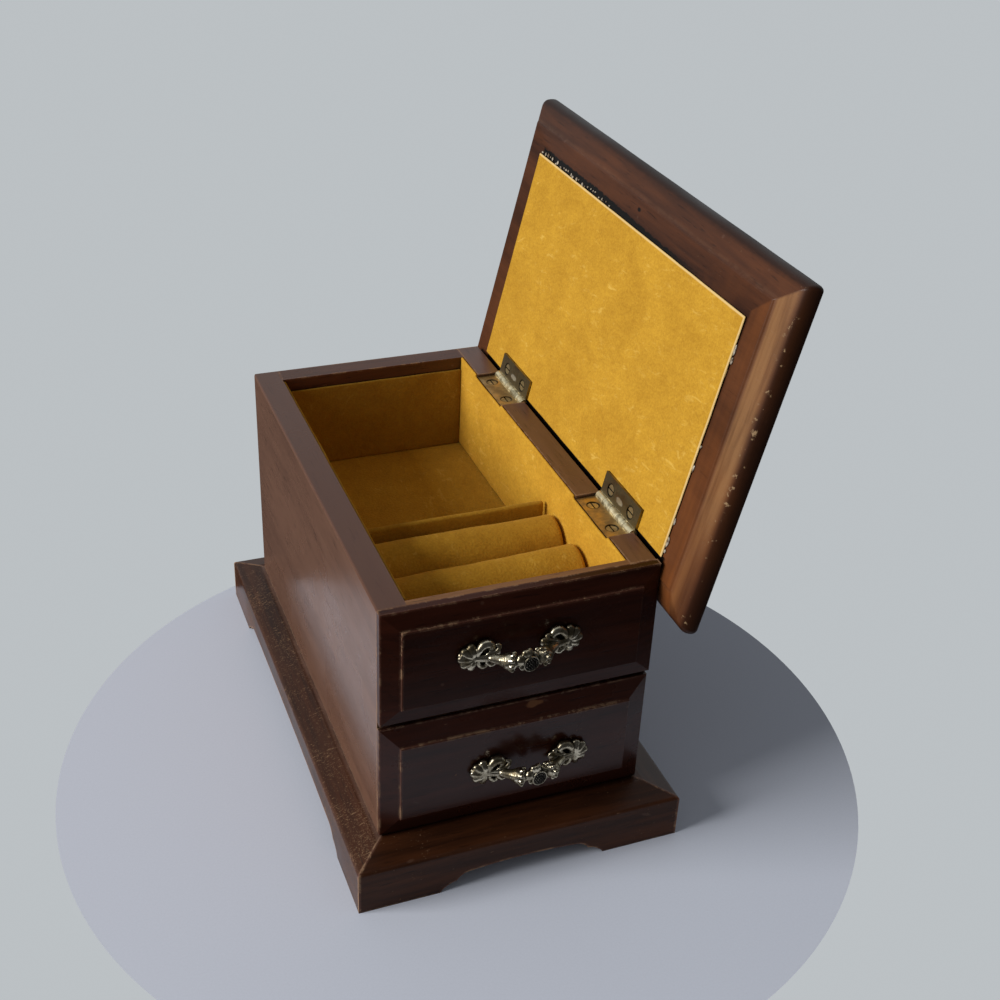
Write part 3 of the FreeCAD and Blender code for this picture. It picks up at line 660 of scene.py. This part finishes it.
def stuffed_roll(node, seed, left_rise, right_rise, left_swing, right_swing):
    """A round roll along X, slightly lumpy, flattened where it lies on its base. Its top rises and
    swings back by so much at each end, where it was stuffed fuller or pushed askew."""
    low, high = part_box(node)
    middle = (low + high) / 2
    radius = (high.y - low.y) / 2
    bm = bmesh.new()
    stations = [(low.x + ROLL_END * s, radius - ROLL_END * (1 - math.sqrt(1 - (1 - s) ** 2)))
                for s in ROLL_END_STEPS]
    inner = [(low.x + ROLL_END + (high.x - low.x - 2 * ROLL_END) * i / ROLL_ALONG, radius)
             for i in range(1, ROLL_ALONG)]
    stations += inner + [(low.x + high.x - x, r) for x, r in reversed(stations)]
    rings = []
    for x, r in stations:
        ring = []
        for i in range(ROLL_AROUND):
            angle = math.tau * i / ROLL_AROUND
            way = Vector((0, math.cos(angle), math.sin(angle)))
            place = Vector((x, middle.y, middle.z)) + way * r
            swell = noise.noise(place * 70 + Vector((seed, 0, 0))) * 0.35 * MM
            swell += noise.noise(place * 230 + Vector((0, seed, 0))) * 0.1 * MM
            ring.append(bm.verts.new(place + way * (swell - ROLL_SLACK)))
        rings.append(ring)
    bridge(bm, rings)
    for ring, x in ((rings[0], low.x), (rings[-1], high.x)):
        centre = bm.verts.new((x, middle.y, middle.z))
        for i in range(ROLL_AROUND):
            bm.faces.new((ring[i], ring[(i + 1) % ROLL_AROUND], centre))
    for vert in bm.verts:
        vert.co.z = min(max(vert.co.z, low.z), high.z)
        vert.co.y = min(max(vert.co.y, low.y), high.y)
        along = (vert.co.x - low.x) / (high.x - low.x)
        up = (vert.co.z - low.z) / (high.z - low.z)
        vert.co.z += (left_rise + (right_rise - left_rise) * along) * up * MM
        vert.co.y += (left_swing + (right_swing - left_swing) * along) * up * MM
    return bm


# The velvet of the base and of the rolls is darkened as painted shade.
base = lay_card("ring_cushion_base", 2, 26.2, "cushion", 0.7, fold=1.0 * MM, puff=0.2 * MM)

for place, seed, *ends in (("front", 27.4, 0.0, 0.0, 0.0, 0.0), ("middle", 28.1, 0.1, 1.5, 0.0, 1.0),
                           ("rear", 29.8, 1.2, 1.5, 0.9, 1.1)):
    node = "ring_roll_" + place
    roll = finish_piece(node + "_velvet", stuffed_roll(node, seed, *ends), "case",
                        velvet(node + "_fabric", seed, painted_shade=0.85), [node], sharp=60)

# ---------------- Drawer lining
# One card covered with the same velvet, laid loose on the drawer's bottom. Its edges are
# folded over like those of the compartment's linings.

lay_card("drawer_lining", 2, 31.7, "drawer", 1.0, body="drawer", fold=0.4 * MM, puff=0.12 * MM)

# ---------------- Lid
# One board of mahogany, paler and redder than the case. Its underside is bevelled all round
# to a rounded edge, and the lacquer of the bevels is knocked along the front and the edge.

LID_DEEP = (42, 22, 14)
LID_WARM = (88, 50, 29)
LID_PALE_TONE = (144, 85, 42)
LID_BEVEL_TONE = (154, 112, 72)
LID_LOWER_TONE = (62, 32, 20)
LID_COVE_TONE = (138, 104, 80)
LID_EDGE_SHADE_TONE = (30, 14, 8)
LID_CHIP_TONE = (172, 142, 106)
LID_GAP_SHADOW_TONE = (6, 3, 2)
LID_DENT = (-0.0462, -0.0019)
LID_CORNERS = (3.0, 2.2, 1.8, 2.4)
LID_REAR_TRIM = 2.4 * MM
LID_BEVELS = (8.55, 11.05, 10.35, 6.25)
LID_CORNER_STEPS = 7
LID_RUN_STEPS = 26
LID_UNEVEN = 0.06 * MM

# The lid's section from the flat underside up to the raised field on top: the share of each
# bevel's width that is left, the inset from the edge and the height, in millimetres.
LID_PROFILE = (
    (1.07, 0, 0.0), (1.035, 0, 0.05), (1.01, 0, 0.22), (0.985, 0, 0.5), (0.95, 0, 0.66),
    (0.88, 0, 0.84), (0.7, 0, 1.3), (0.5, 0, 1.88), (0.33, 0, 2.45), (0.2, 0, 3.05),
    (0.115, 0, 3.7), (0.06, 0, 4.5), (0.025, 0, 5.5), (0.005, 0, 6.5), (0, 0, 7.4),
    (0, 0.15, 8.16), (0, 0.59, 8.8), (0, 1.24, 9.24), (0, 2.0, 9.4), (0, 7.5, 9.95),
    (0, 12.6, 10.55), (0, 12.95, 10.7), (0, 13.1, 11.0), (0, 13.3, 11.25), (0, 13.7, 11.35))

lid_joint = next(joint for joint in frame["joints"] if joint["name"] == "lid_hinge")
hinge_axis = Vector(lid_joint["pos_m"])
lid_opening = -math.radians(lid_joint["range_deg"][0])
opened = (Matrix.Translation(hinge_axis) @ Matrix.Rotation(lid_opening, 4, "Y")
          @ Matrix.Translation(-hinge_axis))


def shut_box(node):
    """The box that a piece of the lid fills when the lid is shut."""
    shut = opened.inverted()
    corners = [shut @ vert.co for vert in frame["nodes"][node].data.vertices]
    return [Vector([pick(c[axis] for c in corners) for axis in range(3)]) for pick in (min, max)]


def shut_place(place):
    """The piece's own coordinates as they are with the lid shut."""
    ends = {"Vector": place, "Center": hinge_axis, "Angle": -lid_opening}
    return add(place.tree, "VectorRotate", ends, rotation_type="Y_AXIS")


def lid_ring(bm, low, high, share, inset, level):
    """One round of the lid's outline: a share of each side's bevel and an inset from the edge."""
    left, hinge_side, front, rear = [(share * width + inset) * MM for width in LID_BEVELS]
    spots = []
    for corner, round_off in enumerate(LID_CORNERS):
        way_x, way_y = ((1, 1), (-1, 1), (-1, -1), (1, -1))[corner]
        radius = max(round_off * MM - min(left, hinge_side, front, rear), 0.3 * MM)
        centre_x = (high.x - hinge_side - radius) if way_x > 0 else (low.x + left + radius)
        centre_y = (high.y - rear - radius) if way_y > 0 else (low.y + front + radius)
        for step in range(LID_CORNER_STEPS + 1):
            angle = math.radians(90 * corner + 90 * step / LID_CORNER_STEPS)
            spots.append(Vector((centre_x + radius * math.cos(angle),
                                 centre_y + radius * math.sin(angle), level)))
    ring = []
    for i, spot in enumerate(spots):
        after = spots[(i + 1) % len(spots)]
        steps = LID_RUN_STEPS if (i + 1) % (LID_CORNER_STEPS + 1) == 0 else 1
        for step in range(steps):
            place = spot.lerp(after, step / steps)
            drift = noise.noise_vector(place * 60) * LID_UNEVEN
            ring.append(bm.verts.new(place + drift - Vector((0, 0, LID_UNEVEN))))
    return ring


def lid_shape():
    """The lid's moulding, from its flat underside round the edge to the raised field on top."""
    low, high = shut_box("lid_board")
    low = low + Vector((LID_UNEVEN, LID_UNEVEN, LID_UNEVEN))
    high = high - Vector((LID_UNEVEN, LID_UNEVEN + LID_REAR_TRIM, 0))
    bm = bmesh.new()
    rings = [lid_ring(bm, low, high, share, inset, low.z + level * MM)
             for share, inset, level in LID_PROFILE]
    bridge(bm, rings)
    bm.faces.new(rings[0])
    bm.faces.new(rings[-1])
    return bm


def near(value, mark, start, end, *ends):
    """A ramp that starts and ends so many millimetres from a mark."""
    return ramp(value, mark + start * MM, mark + end * MM, *ends)


def lid_wood():
    """The lid's mahogany: dark under the middle, worn pale on the front bevel, with painted shadow in
    the gaps beside the velvet and in a dent, and painted shade on the outer edge.
    """
    material = mahogany("lid_wood", "Y", 32.4, LID_DEEP, LID_WARM, worn=0.55, chips=0.4,
                        coat=0.05, shine=0.16, rough=0.4)
    shader, place, colour = reopen(material)
    place = shut_place(place)
    low = shut_box("lid_board")[0]
    card_low, card_high = shut_box("lid_velvet_panel")
    spot = split(place)
    x, y, z = spot["X"], spot["Y"], spot["Z"]
    streaks = cloud(stretched(place, GRAIN["X"]), 2.0, 1.1 * MM, detail=5, rough=0.6)
    shed = streaks * (0.8 * MM) + z

    across = (x - low.x) / (LID_BEVELS[0] * MM)
    deep = (y - low.y) / (LID_BEVELS[2] * MM)
    mitre = ramp(across - deep, -0.04, 0.1)
    front = near(y, low.y, 10.4, 8.9) * mitre
    bevel = front * near(shed, low.z, 3.7, 2.5) * ramp(streaks, 0.3, 0.65, 0.3, 0.85)
    bevel = bevel * ramp(x, 0.04, 0.005, 0.35, 0.9)
    lower = front * near(z, low.z, 0.6, 2.2) * ramp(x, 0.02, 0.055, 0.0, 0.65)
    cove = near(z, low.z, 0.3, 0.6) * near(z, low.z, 1.0, 0.7) * ramp(streaks, 0.35, 0.6, 0.1, 0.7)

    patches = ramp(cloud(place, 5.0, 26 * MM, detail=4, warp=1.0), 0.3, 0.7, -0.25, 0.25)
    pale = ramp(x, -0.06, 0.045, 0.0, 0.75) + patches
    pale = pale * ramp(y, card_high.y, low.y + 4 * MM, 0.3, 1.0)
    stile = near(y, card_low.y, 0.0, -1.5) * ramp(x, 0.01, -0.045, 0.0, 0.42)
    pale = calc("MAXIMUM", stile * mitre + pale, 0.0)

    # Painted shadow, near black, in the gaps where the velvet stands off the board by the hinges and
    # along its far edge, and in a dent.
    hinge_gap_shadow = near(x, card_high.x, 0.3, 0.7) * near(y, card_low.y, -2.5, -0.5)
    hinge_gap_shadow = hinge_gap_shadow * near(y, card_high.y, 1.2, 0.2)
    ragged = cloud(place, 6.0, 1.6 * MM) * (2.4 * MM) + x + ramp(y, -0.03, 0.03, 0.5 * MM, 1.9 * MM)
    far_gap_shadow = near(ragged, card_low.x, 0.2, 0.6) * near(x, card_low.x, 1.2, 1.0)
    far_gap_shadow = far_gap_shadow * ramp(y, -0.07, -0.02) * near(y, card_high.y, 0.4, -0.6)
    gap = calc("MAXIMUM", hinge_gap_shadow, far_gap_shadow) * near(z, low.z, 0.5, 0.2)
    dent = distance(stretched(place, (1.0, 0.6, 1.0)), (*LID_DENT, low.z))
    gap = calc("MAXIMUM", gap, ramp(dent, 0.9 * MM, 0.5 * MM))

    arris = near(shed, low.z, 2.6, 3.2) * near(shed, low.z, 4.9, 4.2) * near(y, low.y, 7, 4)
    chipped = ramp(cloud(place, 7.0, 1.3 * MM, detail=5, rough=0.65), 0.58, 0.66, 0.0, 0.85)
    pale_wood = blend(streaks, paint(*LID_WARM), paint(*LID_PALE_TONE))
    wire(shader, {"Base Color": layers(
        blend(pale, colour, pale_wood), (bevel, LID_BEVEL_TONE), (lower, LID_LOWER_TONE),
        # The outer edge is darkened as painted shade.
        (cove * 0.15, LID_COVE_TONE), (near(shed, low.z, 2.8, 4.0) * 0.75, LID_EDGE_SHADE_TONE),
        (arris * chipped, LID_CHIP_TONE), (gap, LID_GAP_SHADOW_TONE))})
    return material


finish_piece("lid_moulded_board", lid_shape(), "lid", lid_wood(), ["lid_board"],
             move=opened, sharp=40)

# ---------------- Lid lining
# A card covered with velvet, glued to the lid's underside. It stands a little off the board
# at two edges, where old glue shows in the gap.

HINGE_SIDE_LAP = 0.9 * MM
REAR_LAP = 1.4 * MM
UNDERCUT = 1.1 * MM
UNDERCUT_DEPTH = 0.35 * MM

card_low, card_high = shut_box("lid_velvet_panel")
card_high.x += HINGE_SIDE_LAP
card_high.y += REAR_LAP


def pale_folds(material):
    """Wears the pile pale along the folds at the front and at the edge away from the hinges."""
    shader, place, colour = reopen(material)
    spot = split(shut_place(place))
    fold = calc("MAXIMUM", near(spot["X"], card_low.x, 0.9, 0.4), near(spot["Y"], card_low.y, 0.9, 0.4))
    wire(shader, {"Base Color": layers(colour, (fold * 0.6, (250, 222, 164)))})
    return material


bm = covered_card(rectangle(card_low, card_high, 2), card_low.z + 0.05 * MM, card_high.z, 2,
                  0.3 * MM, 0.1 * MM, 33.9)
for vert in bm.verts:
    if vert.co.z > card_high.z - UNDERCUT_DEPTH:
        vert.co.x = max(vert.co.x, card_low.x + UNDERCUT)
        vert.co.y = max(vert.co.y, card_low.y + UNDERCUT)
finish_piece("lid_lining_velvet", bm, "lid", pale_folds(velvet("lid_fabric", 33.9)),
             ["lid_velvet_panel"], move=opened, sharp=50)

# ---------------- Old glue
# Beads of hardened glue squeezed out beside the lid's velvet: a row of small teeth along the
# far edge and a few larger blobs at the front, dirty white turning brown.

TEETH = 26
LARGE_TEETH = 16
TOOTH_SPACING = 2.5


def glue_bead(bm, centre, size, seed):
    """One lump of glue: a squashed ball pushed out of round."""
    for vert in bmesh.ops.create_icosphere(bm, subdivisions=3, radius=1.0)["verts"]:
        way = vert.co.normalized()
        swell = 1 + 0.45 * noise.noise(way * 1.7 + Vector((seed, 0, 0)))
        vert.co = centre + Vector([way[axis] * swell * size[axis] for axis in range(3)])


def glue_skin():
    """Dull, yellowed glue with brown dirt in it."""
    material, shader, place = start_material("old_glue")
    stains = ramp(cloud(place, 3.0, 0.9 * MM, detail=4), 0.35, 0.65)
    wire(shader, {"Base Color": blend(stains, paint(196, 186, 168), paint(96, 74, 52)),
                  "Roughness": ramp(stains, 0.0, 1.0, 0.3, 0.6),
                  "Normal": relief(cloud(place, 4.0, 0.4 * MM), 0.1 * MM, 0.6)})
    return material


draw = random.Random(41)
bm = bmesh.new()
for tooth in range(TEETH):
    place = Vector((card_low.x - draw.uniform(0.2, 1.3) * MM,
                    card_high.y - (1.5 + TOOTH_SPACING * tooth + draw.uniform(-0.9, 0.9)) * MM,
                    card_high.z - 0.15 * MM))
    shrink = 1.0 if tooth < LARGE_TEETH else 0.65
    size = (draw.uniform(0.3, 0.9) * MM * shrink, draw.uniform(0.25, 0.8) * MM * shrink, 0.3 * MM)
    glue_bead(bm, place, size, tooth)
for along, wide, thick in ((0.13, 1.9, 0.5), (0.17, 1.1, 0.5), (0.52, 0.5, 0.3), (0.61, 1.4, 0.3),
                           (0.84, 1.2, 0.4), (0.93, 1.9, 0.7), (0.97, 0.7, 0.5)):
    place = Vector((card_low.x + (card_high.x - card_low.x) * along,
                    card_low.y - draw.uniform(0.0, 0.4) * MM, card_high.z - 0.25 * MM))
    glue_bead(bm, place, (wide * MM, thick * MM, 0.35 * MM), 50 + along * 10)
finish_piece("lid_old_glue", bm, "lid", glue_skin(), move=opened)

# ---------------- Hinges
# Butt hinges of stamped brass, two, let into the right board and laid on the lid's underside,
# each with a steel-cored pin and four slotted brass screws. The brass has gone brown and dull.

SCREW_FROM_AXIS = 5.1 * MM
SCREW_SPACING = 15.6 * MM
SCREW_HEAD = 1.95 * MM
COUNTERSINK_SHADE_TONE = (16, 12, 8)
KNUCKLE_TONE = (246, 232, 192)
GLINT_TONE = (255, 250, 226)


@effect(Vector="Place First Second", Float="Seed")
def countersink_shade(given):
    """The dark ring round each of a leaf's two screws: painted shade in the countersink, varied by
    grit.
    """
    flat, first, second = [stretched(given[name], (1.0, 1.0, 0.0))
                           for name in ("Place", "First", "Second")]
    rings = [near(distance(flat, screw), SCREW_HEAD, 0.75, 0.25) for screw in (first, second)]
    grit = cloud(given["Place"], given["Seed"], 0.5 * MM)
    return {"Mask": calc("MAXIMUM", *rings) * ramp(grit, 0.2, 0.6, 0.7, 1.0)}


def leaf_brass(name, seed, clean, dull, middle_y, lid):
    """The brass of one hinge leaf, with painted shade round its two screws and, on the lid's leaf, a
    painted glint between them.
    """
    material = old_metal(name, seed, clean, dull, (22, 16, 10), corner=0.7 * MM)
    shader, place, colour = reopen(material)
    if lid:
        place = shut_place(place)
    screw_x = hinge_axis.x - SCREW_FROM_AXIS
    first, second = [(screw_x, middle_y + side * SCREW_SPACING / 2, 0.0) for side in (-1, 1)]
    # Painted shade round the screws.
    ring = use(countersink_shade, place, seed, First=first, Second=second)
    knuckle = ramp(distance(stretched(place, (1.0, 0.0, 1.0)), (hinge_axis.x, 0.0, hinge_axis.z)),
                   2.1 * MM, 1.5 * MM)
    knuckle = knuckle * ramp(cloud(place, seed, 0.9 * MM), 0.35, 0.6, 0.3, 1.0)
    colour = layers(colour, (ring, COUNTERSINK_SHADE_TONE), (knuckle, KNUCKLE_TONE))
    if lid:
        # A painted glint between the lid leaf's screws.
        spot = (screw_x + 0.4 * MM, (middle_y + 0.5 * MM) * 0.4, 0.0)
        ragged = cloud(place, seed, 0.7 * MM, detail=4) * (1.2 * MM)
        painted_glint = ramp(ragged + distance(stretched(place, (1.0, 0.4, 0.0)), spot), 1.9 * MM, 1.3 * MM)
        colour = layers(colour, (painted_glint, GLINT_TONE))
    wire(shader, {"Base Color": colour})
    return material


for place, seed in (("front", 34.1), ("rear", 35.2)):
    near_end, far_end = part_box(place + "_hinge_case_leaf")
    middle_y = (near_end.y + far_end.y) / 2
    for half, shift, clean, dull in (("case", 0.0, (204, 176, 122), (150, 124, 80)),
                                     ("lid", 0.5, (150, 134, 98), (102, 90, 64))):
        brass = leaf_brass(f"{place}_{half}_leaf_brass", seed + shift, clean, dull, middle_y,
                           lid=half == "lid")
        dress(brass, f"{place}_hinge_{half}_leaf")
dress(old_metal("pin_brass", 35.6, (222, 204, 156), (160, 140, 98), (24, 18, 12)),
      "front_hinge_pin", "rear_hinge_pin", "case_hinge_screws", "lid_hinge_screws")

# ---------------- Pulls
# Bow pulls cast in soft metal: a palmette and scrolls at each end, ribbed trumpets on the bow
# and a flower with a seeded middle. Brushed bright on the high places and black in the hollows.

PULL_VOXEL = 0.17 * MM
PULL_SMOOTHING = 2
BEAD_STEP = 0.35
BEAD_GAP = 0.08


def stroke(beads, points, radii, flat=1.0):
    """Adds beads along a smooth line through the points, as u, v, w, with radii to match."""
    spans = len(points) - 1
    spots = [Vector(p) for p in points]
    for span in range(spans):
        before = spots[max(span - 1, 0)]
        start, end = spots[span], spots[span + 1]
        after = spots[min(span + 2, spans)]
        length = (end - start).length
        count = max(2, math.ceil(length / (BEAD_STEP * min(radii[span], radii[span + 1]) + BEAD_GAP)))
        for i in range(count + (span == spans - 1)):
            t = i / count
            place = 0.5 * ((2 * start) + (end - before) * t
                           + (2 * before - 5 * start + 4 * end - after) * t ** 2
                           + (3 * start - before - 3 * end + after) * t ** 3)
            radius = radii[span] + (radii[span + 1] - radii[span]) * t
            beads.append((place, radius, flat))


def palmette(beads, side):
    """One end of the pull: a scalloped fan, scrolls above and below, and a ribbed neck."""
    def lay(points, radii, flat=1.0):
        stroke(beads, [(side * u, v, w) for u, v, w in points], radii, flat)

    lay([(17.6, 0, 0.6), (15.4, 0, 0.8)], (3.9, 3.3), 0.35)
    for step in range(-2, 3):
        angle = math.radians(39 * step)
        reach = 3.95 - 0.12 * abs(step)
        lay([(16.2 + math.cos(angle) * reach * share, math.sin(angle) * reach * share, w)
             for share, w in ((0.15, 2.3), (0.6, 2.1), (1.0, 1.2))], (0.55, 1.15, 1.55), 0.85)
    lay([(15.2, 1.2, 2.3), (14.6, 3.2, 2.4), (13.2, 4.6, 2.1), (11.4, 4.7, 2.2), (10.2, 3.6, 2.5),
         (11.0, 2.7, 2.8)], (0.7, 1.2, 1.6, 1.55, 1.05, 0.6))
    lay([(12.6, 1.1, 3.0), (11.4, 1.9, 3.1), (9.9, 2.0, 3.3), (8.6, 2.8, 3.3), (8.2, 3.9, 3.0),
         (8.9, 4.3, 2.9)], (0.45, 0.6, 0.6, 0.7, 0.85, 0.6))
    lay([(14.9, -1.0, 2.4), (14.6, -2.9, 2.1), (13.3, -4.1, 1.7), (12.1, -3.6, 1.9), (12.3, -2.6, 2.2)],
        (0.5, 0.75, 0.95, 0.75, 0.5))
    lay([(12.6, -1.0, 2.8), (11.9, -2.5, 2.6), (10.7, -3.7, 2.1), (9.4, -3.3, 2.3), (9.4, -2.3, 2.6)],
        (0.45, 0.65, 0.85, 0.7, 0.5))
    lay([(9.8, -1.2, 3.2), (8.8, -2.2, 3.2), (7.7, -2.6, 3.1)], (0.4, 0.5, 0.85))
    for lift in (-0.8, 0.0, 0.8):
        fall = abs(lift) * 0.3
        lay([(16.6, lift * 0.5, 2.4), (13.6, lift, 3.1 - fall), (10.6, lift, 3.9 - fall)],
            (0.45, 0.55, 0.6))
    lay([(16.0, 0, 0.6), (8.6, 0, 0.9)], (2.8, 1.9), 0.5)
    lay([(12.8, -2.9, 0.7), (12.6, 3.4, 0.9)], (1.7, 2.2), 0.5)


def trumpet(beads, side):
    """The ribbed collar that opens towards the middle of the bow."""
    start, end = Vector((side * 10.8, 0, 3.7)), Vector((side * 4.9, -0.2, 7.3))
    along = (end - start).normalized()
    across = along.cross(Vector((0, 1, 0))).normalized()
    other = along.cross(across).normalized()
    stroke(beads, [start, start.lerp(end, 0.4), start.lerp(end, 0.7), start.lerp(end, 0.84)],
           (1.45, 1.85, 2.5, 3.05))
    for rib in range(9):
        angle = math.tau * rib / 9
        way = across * math.cos(angle) + other * math.sin(angle)
        points = [start + way * 1.0, start.lerp(end, 0.4) + way * 1.25,
                  start.lerp(end, 0.75) + way * 2.05, end + way * 2.75]
        stroke(beads, points, (0.42, 0.5, 0.66, 0.8))


def flower(beads, grains):
    """The middle of the bow: petals round a rimmed disc full of seeds, facing out."""
    face = Vector((0.12, 0.02, 0.98)).normalized()
    right = (Vector((1, 0, 0)) - face * face.x).normalized()
    up = face.cross(right)
    heart = Vector((0.4, -0.9, 7.9))

    def spot(degrees, reach, lift):
        angle = math.radians(degrees)
        return heart + (right * math.cos(angle) + up * math.sin(angle)) * reach + face * lift

    stroke(beads, [heart - face * 2.0, heart - face * 1.4], (2.4, 2.5))
    for step in range(36):
        beads.append((spot(360 * step / 36, 2.6, 1.35), 0.3, 1.0))
    for ring, count in ((0.0, 1), (0.4, 4), (0.85, 6), (1.3, 9), (1.75, 13), (2.2, 17)):
        for step in range(count):
            grains.append((spot(360 * step / count + ring * 33, ring, 1.0), 0.4, 1.0))
    for ring, count in ((0.0, 1), (0.85, 6), (1.7, 12)):
        for step in range(count):
            grains.append((spot(360 * step / count + ring * 20, ring, 1.75 - ring * 0.1), 0.33, 1.0))
    for degrees, reach, swell in ((104, 4.3, 1.45), (156, 4.3, 1.5), (206, 3.3, 1.0), (258, 2.8, 0.8),
                                  (335, 2.8, 0.75), (40, 3.2, 0.9)):
        for lean in (-11, 0, 11):
            way, droop = degrees + lean, abs(lean)
            stroke(beads, [spot(degrees, 1.7, -0.6), spot(way, reach * 0.8, 0.1 - droop * 0.02),
                           spot(way, reach, 0.3 - droop * 0.03)], (0.8, swell * 0.9, swell * 0.75))


def bead_mesh(name, beads):
    """Every bead as a small closed ball, in metres, all in one mesh."""
    ball = bmesh.new()
    bmesh.ops.create_icosphere(ball, subdivisions=2, radius=1.0)
    rounds = [vert.co.copy() for vert in ball.verts]
    sides = [[vert.index for vert in face.verts] for face in ball.faces]
    ball.free()
    points, faces = [], []
    for place, radius, flat in beads:
        start = len(points)
        points += [(place + Vector((p.x, p.y, p.z * flat)) * radius) * MM for p in rounds]
        faces += [[start + i for i in side] for side in sides]
    mesh = bpy.data.meshes.new(name)
    mesh.from_pydata(points, [], faces)
    return mesh


def fuse(mesh):
    """Melts overlapping balls into one closed skin and smooths it."""
    melt = bpy.data.objects.new("melt", mesh)
    bpy.context.scene.collection.objects.link(melt)
    remesh = melt.modifiers.new("remesh", "REMESH")
    remesh.mode = "VOXEL"
    remesh.voxel_size = PULL_VOXEL
    smooth = melt.modifiers.new("smooth", "SMOOTH")
    smooth.iterations = PULL_SMOOTHING
    graph = bpy.context.evaluated_depsgraph_get()
    skin = bpy.data.meshes.new_from_object(melt.evaluated_get(graph))
    bpy.data.objects.remove(melt)
    return skin


def cast_metal(name, seed, bright, clean, dull, dirt):
    """Cast metal, bright on the crests and black in the hollows."""
    material = old_metal(name, seed, clean, dull, dirt, corner=1.6 * MM, depth=0.04 * MM, strength=0.4)
    shader, place, colour = reopen(material)
    crest = add(place.tree, "NewGeometry")["Pointiness"]
    rough = (ramp(crest, 0.5, 0.58) * -0.18 + so_far(shader, "Roughness")) * 0.75
    wire(shader, {"Base Color": layers(colour, (ramp(crest, 0.502, 0.45), dirt),
                                       (ramp(crest, 0.53, 0.6), bright)), "Roughness": rough})
    return material


beads, grains = [], []
for side in (-1, 1):
    palmette(beads, side)
    trumpet(beads, side)
stroke(beads, [(-6.0, 0, 6.4), (-2.5, 0, 7.6), (2.5, 0, 7.6), (6.0, 0, 6.4)], (1.1, 1.2, 1.2, 1.1))
flower(beads, grains)
cast = fuse(bead_mesh("melt", beads))
for vert in cast.vertices:
    vert.co.z = max(vert.co.z, 0.02 * MM)
seeds = bead_mesh("seeds", grains)

# The seeds get a much darker brass than the rest of the pull.
seed_metal = cast_metal("dark_seed_brass", 37.1, (96, 92, 86), (52, 48, 44), (30, 27, 24), (6, 5, 5))
pull_metal = cast_metal("antique_brass", 36.3, (252, 246, 228), (226, 216, 190), (132, 120, 94),
                        (8, 7, 5))
for node, body, level in (("upper_pull", "case", 91.55), ("drawer_pull", "drawer", 40.85)):
    low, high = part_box(node)
    centre = Vector(((low.x + high.x) / 2, high.y, level * MM))
    stand = Matrix.Translation(centre) @ Matrix.Rotation(math.radians(90), 4, "X")
    for part, mesh, metal, nodes in (("_cast", cast, pull_metal, [node]),
                                     ("_seeds", seeds, seed_metal, ())):
        bm = bmesh.new()
        bm.from_mesh(mesh)
        finish_piece(node + part, bm, body, metal, nodes, move=stand)

# ---------------- Pull screws
# Steel screws through each front into the back of the pull's leaves, two to a pull.
# They are the same dulled steel as those of the plinth.

dress(steel, "upper_pull_screws", "drawer_pull_screws")

# ---------------- Table, light and camera
# A plain pale table top, a large soft lamp high at the left, and a plain pale room.
# The camera stands before the left half of the box and looks down on it.

TABLE_TONE = (226, 232, 247)
TABLE_RADIUS = 0.15
TABLE_CENTRE = (0.0, -0.034, 0.0)

bm = bmesh.new()
bmesh.ops.create_circle(bm, cap_ends=True, segments=160, radius=TABLE_RADIUS)
mesh = bpy.data.meshes.new("table_top")
bm.to_mesh(mesh)
bm.free()
table = bpy.data.objects.new("table_top", mesh)
table.location = TABLE_CENTRE
bpy.context.scene.collection.objects.link(table)
material, shader, place = start_material("table_cloth")
weave = cloud(place, 1.0, 0.4 * MM, detail=2)
thread_tones = [paint(*[channel + shift for channel in TABLE_TONE]) for shift in (-4, 4)]
wire(shader, {"Base Color": blend(weave, *thread_tones), "Roughness": 0.9})
mesh.materials.append(material)

LAMP_PLACE = Vector((-3.9, 0.1, 1.8))
LAMP_TARGET = Vector((0, 0, 0.08))

lamp = bpy.data.lights.new("window_lamp", "AREA")
lamp.shape = "SQUARE"
lamp.size = 2.2
lamp.energy = 185.0
lamp.color = (1.0, 0.985, 0.96)
holder = bpy.data.objects.new("window_lamp", lamp)
holder.location = LAMP_PLACE
holder.rotation_mode = "QUATERNION"
holder.rotation_quaternion = (LAMP_TARGET - LAMP_PLACE).to_track_quat("-Z", "Y")
bpy.context.scene.collection.objects.link(holder)

WALL_TONE = (0.5, 0.53, 0.55, 1.0)
SHADE_TONE = (0.03, 0.03, 0.032, 1.0)
FILL_TONE = (0.16, 0.165, 0.17, 1.0)

world = bpy.data.worlds.new("room")
bpy.context.scene.world = world
world.use_nodes = True
tree = world.node_tree
rays = add(tree, "LightPath")
seen = calc("MAXIMUM", rays["Is Camera Ray"], rays["Is Transmission Ray"])
way = split(add(tree, "TexCoord")["Generated"])
lit = ramp(way["Y"], -0.5, 0.3) * ramp(way["Z"], -0.12, 0.02)
colour = blend(rays["Is Glossy Ray"], FILL_TONE, blend(lit, SHADE_TONE, WALL_TONE))
wire(tree.nodes["Background"].inputs, {"Color": blend(seen, colour, WALL_TONE)})

CAMERA_PLACE = Vector((-149.379, -424.262, 367.870)) * MM
CAMERA_HEADING = 22.338
CAMERA_DOWN = 31.164
CAMERA_ROLL = 2.701
CAMERA_LENS = 51.307

camera = bpy.data.cameras.new("camera")
camera.lens = CAMERA_LENS
camera.sensor_width = 36.0
camera.clip_start = 0.01
camera.clip_end = 60.0
viewer = bpy.data.objects.new("camera", camera)
viewer.matrix_world = (
    Matrix.Translation(CAMERA_PLACE)
    @ Matrix.Rotation(math.radians(-CAMERA_HEADING), 4, "Z")
    @ Matrix.Rotation(math.radians(90 - CAMERA_DOWN), 4, "X")
    @ Matrix.Rotation(math.radians(CAMERA_ROLL), 4, "Z"))
bpy.context.scene.collection.objects.link(viewer)
bpy.context.scene.camera = viewer
bpy.context.scene.view_settings.view_transform = "Standard"
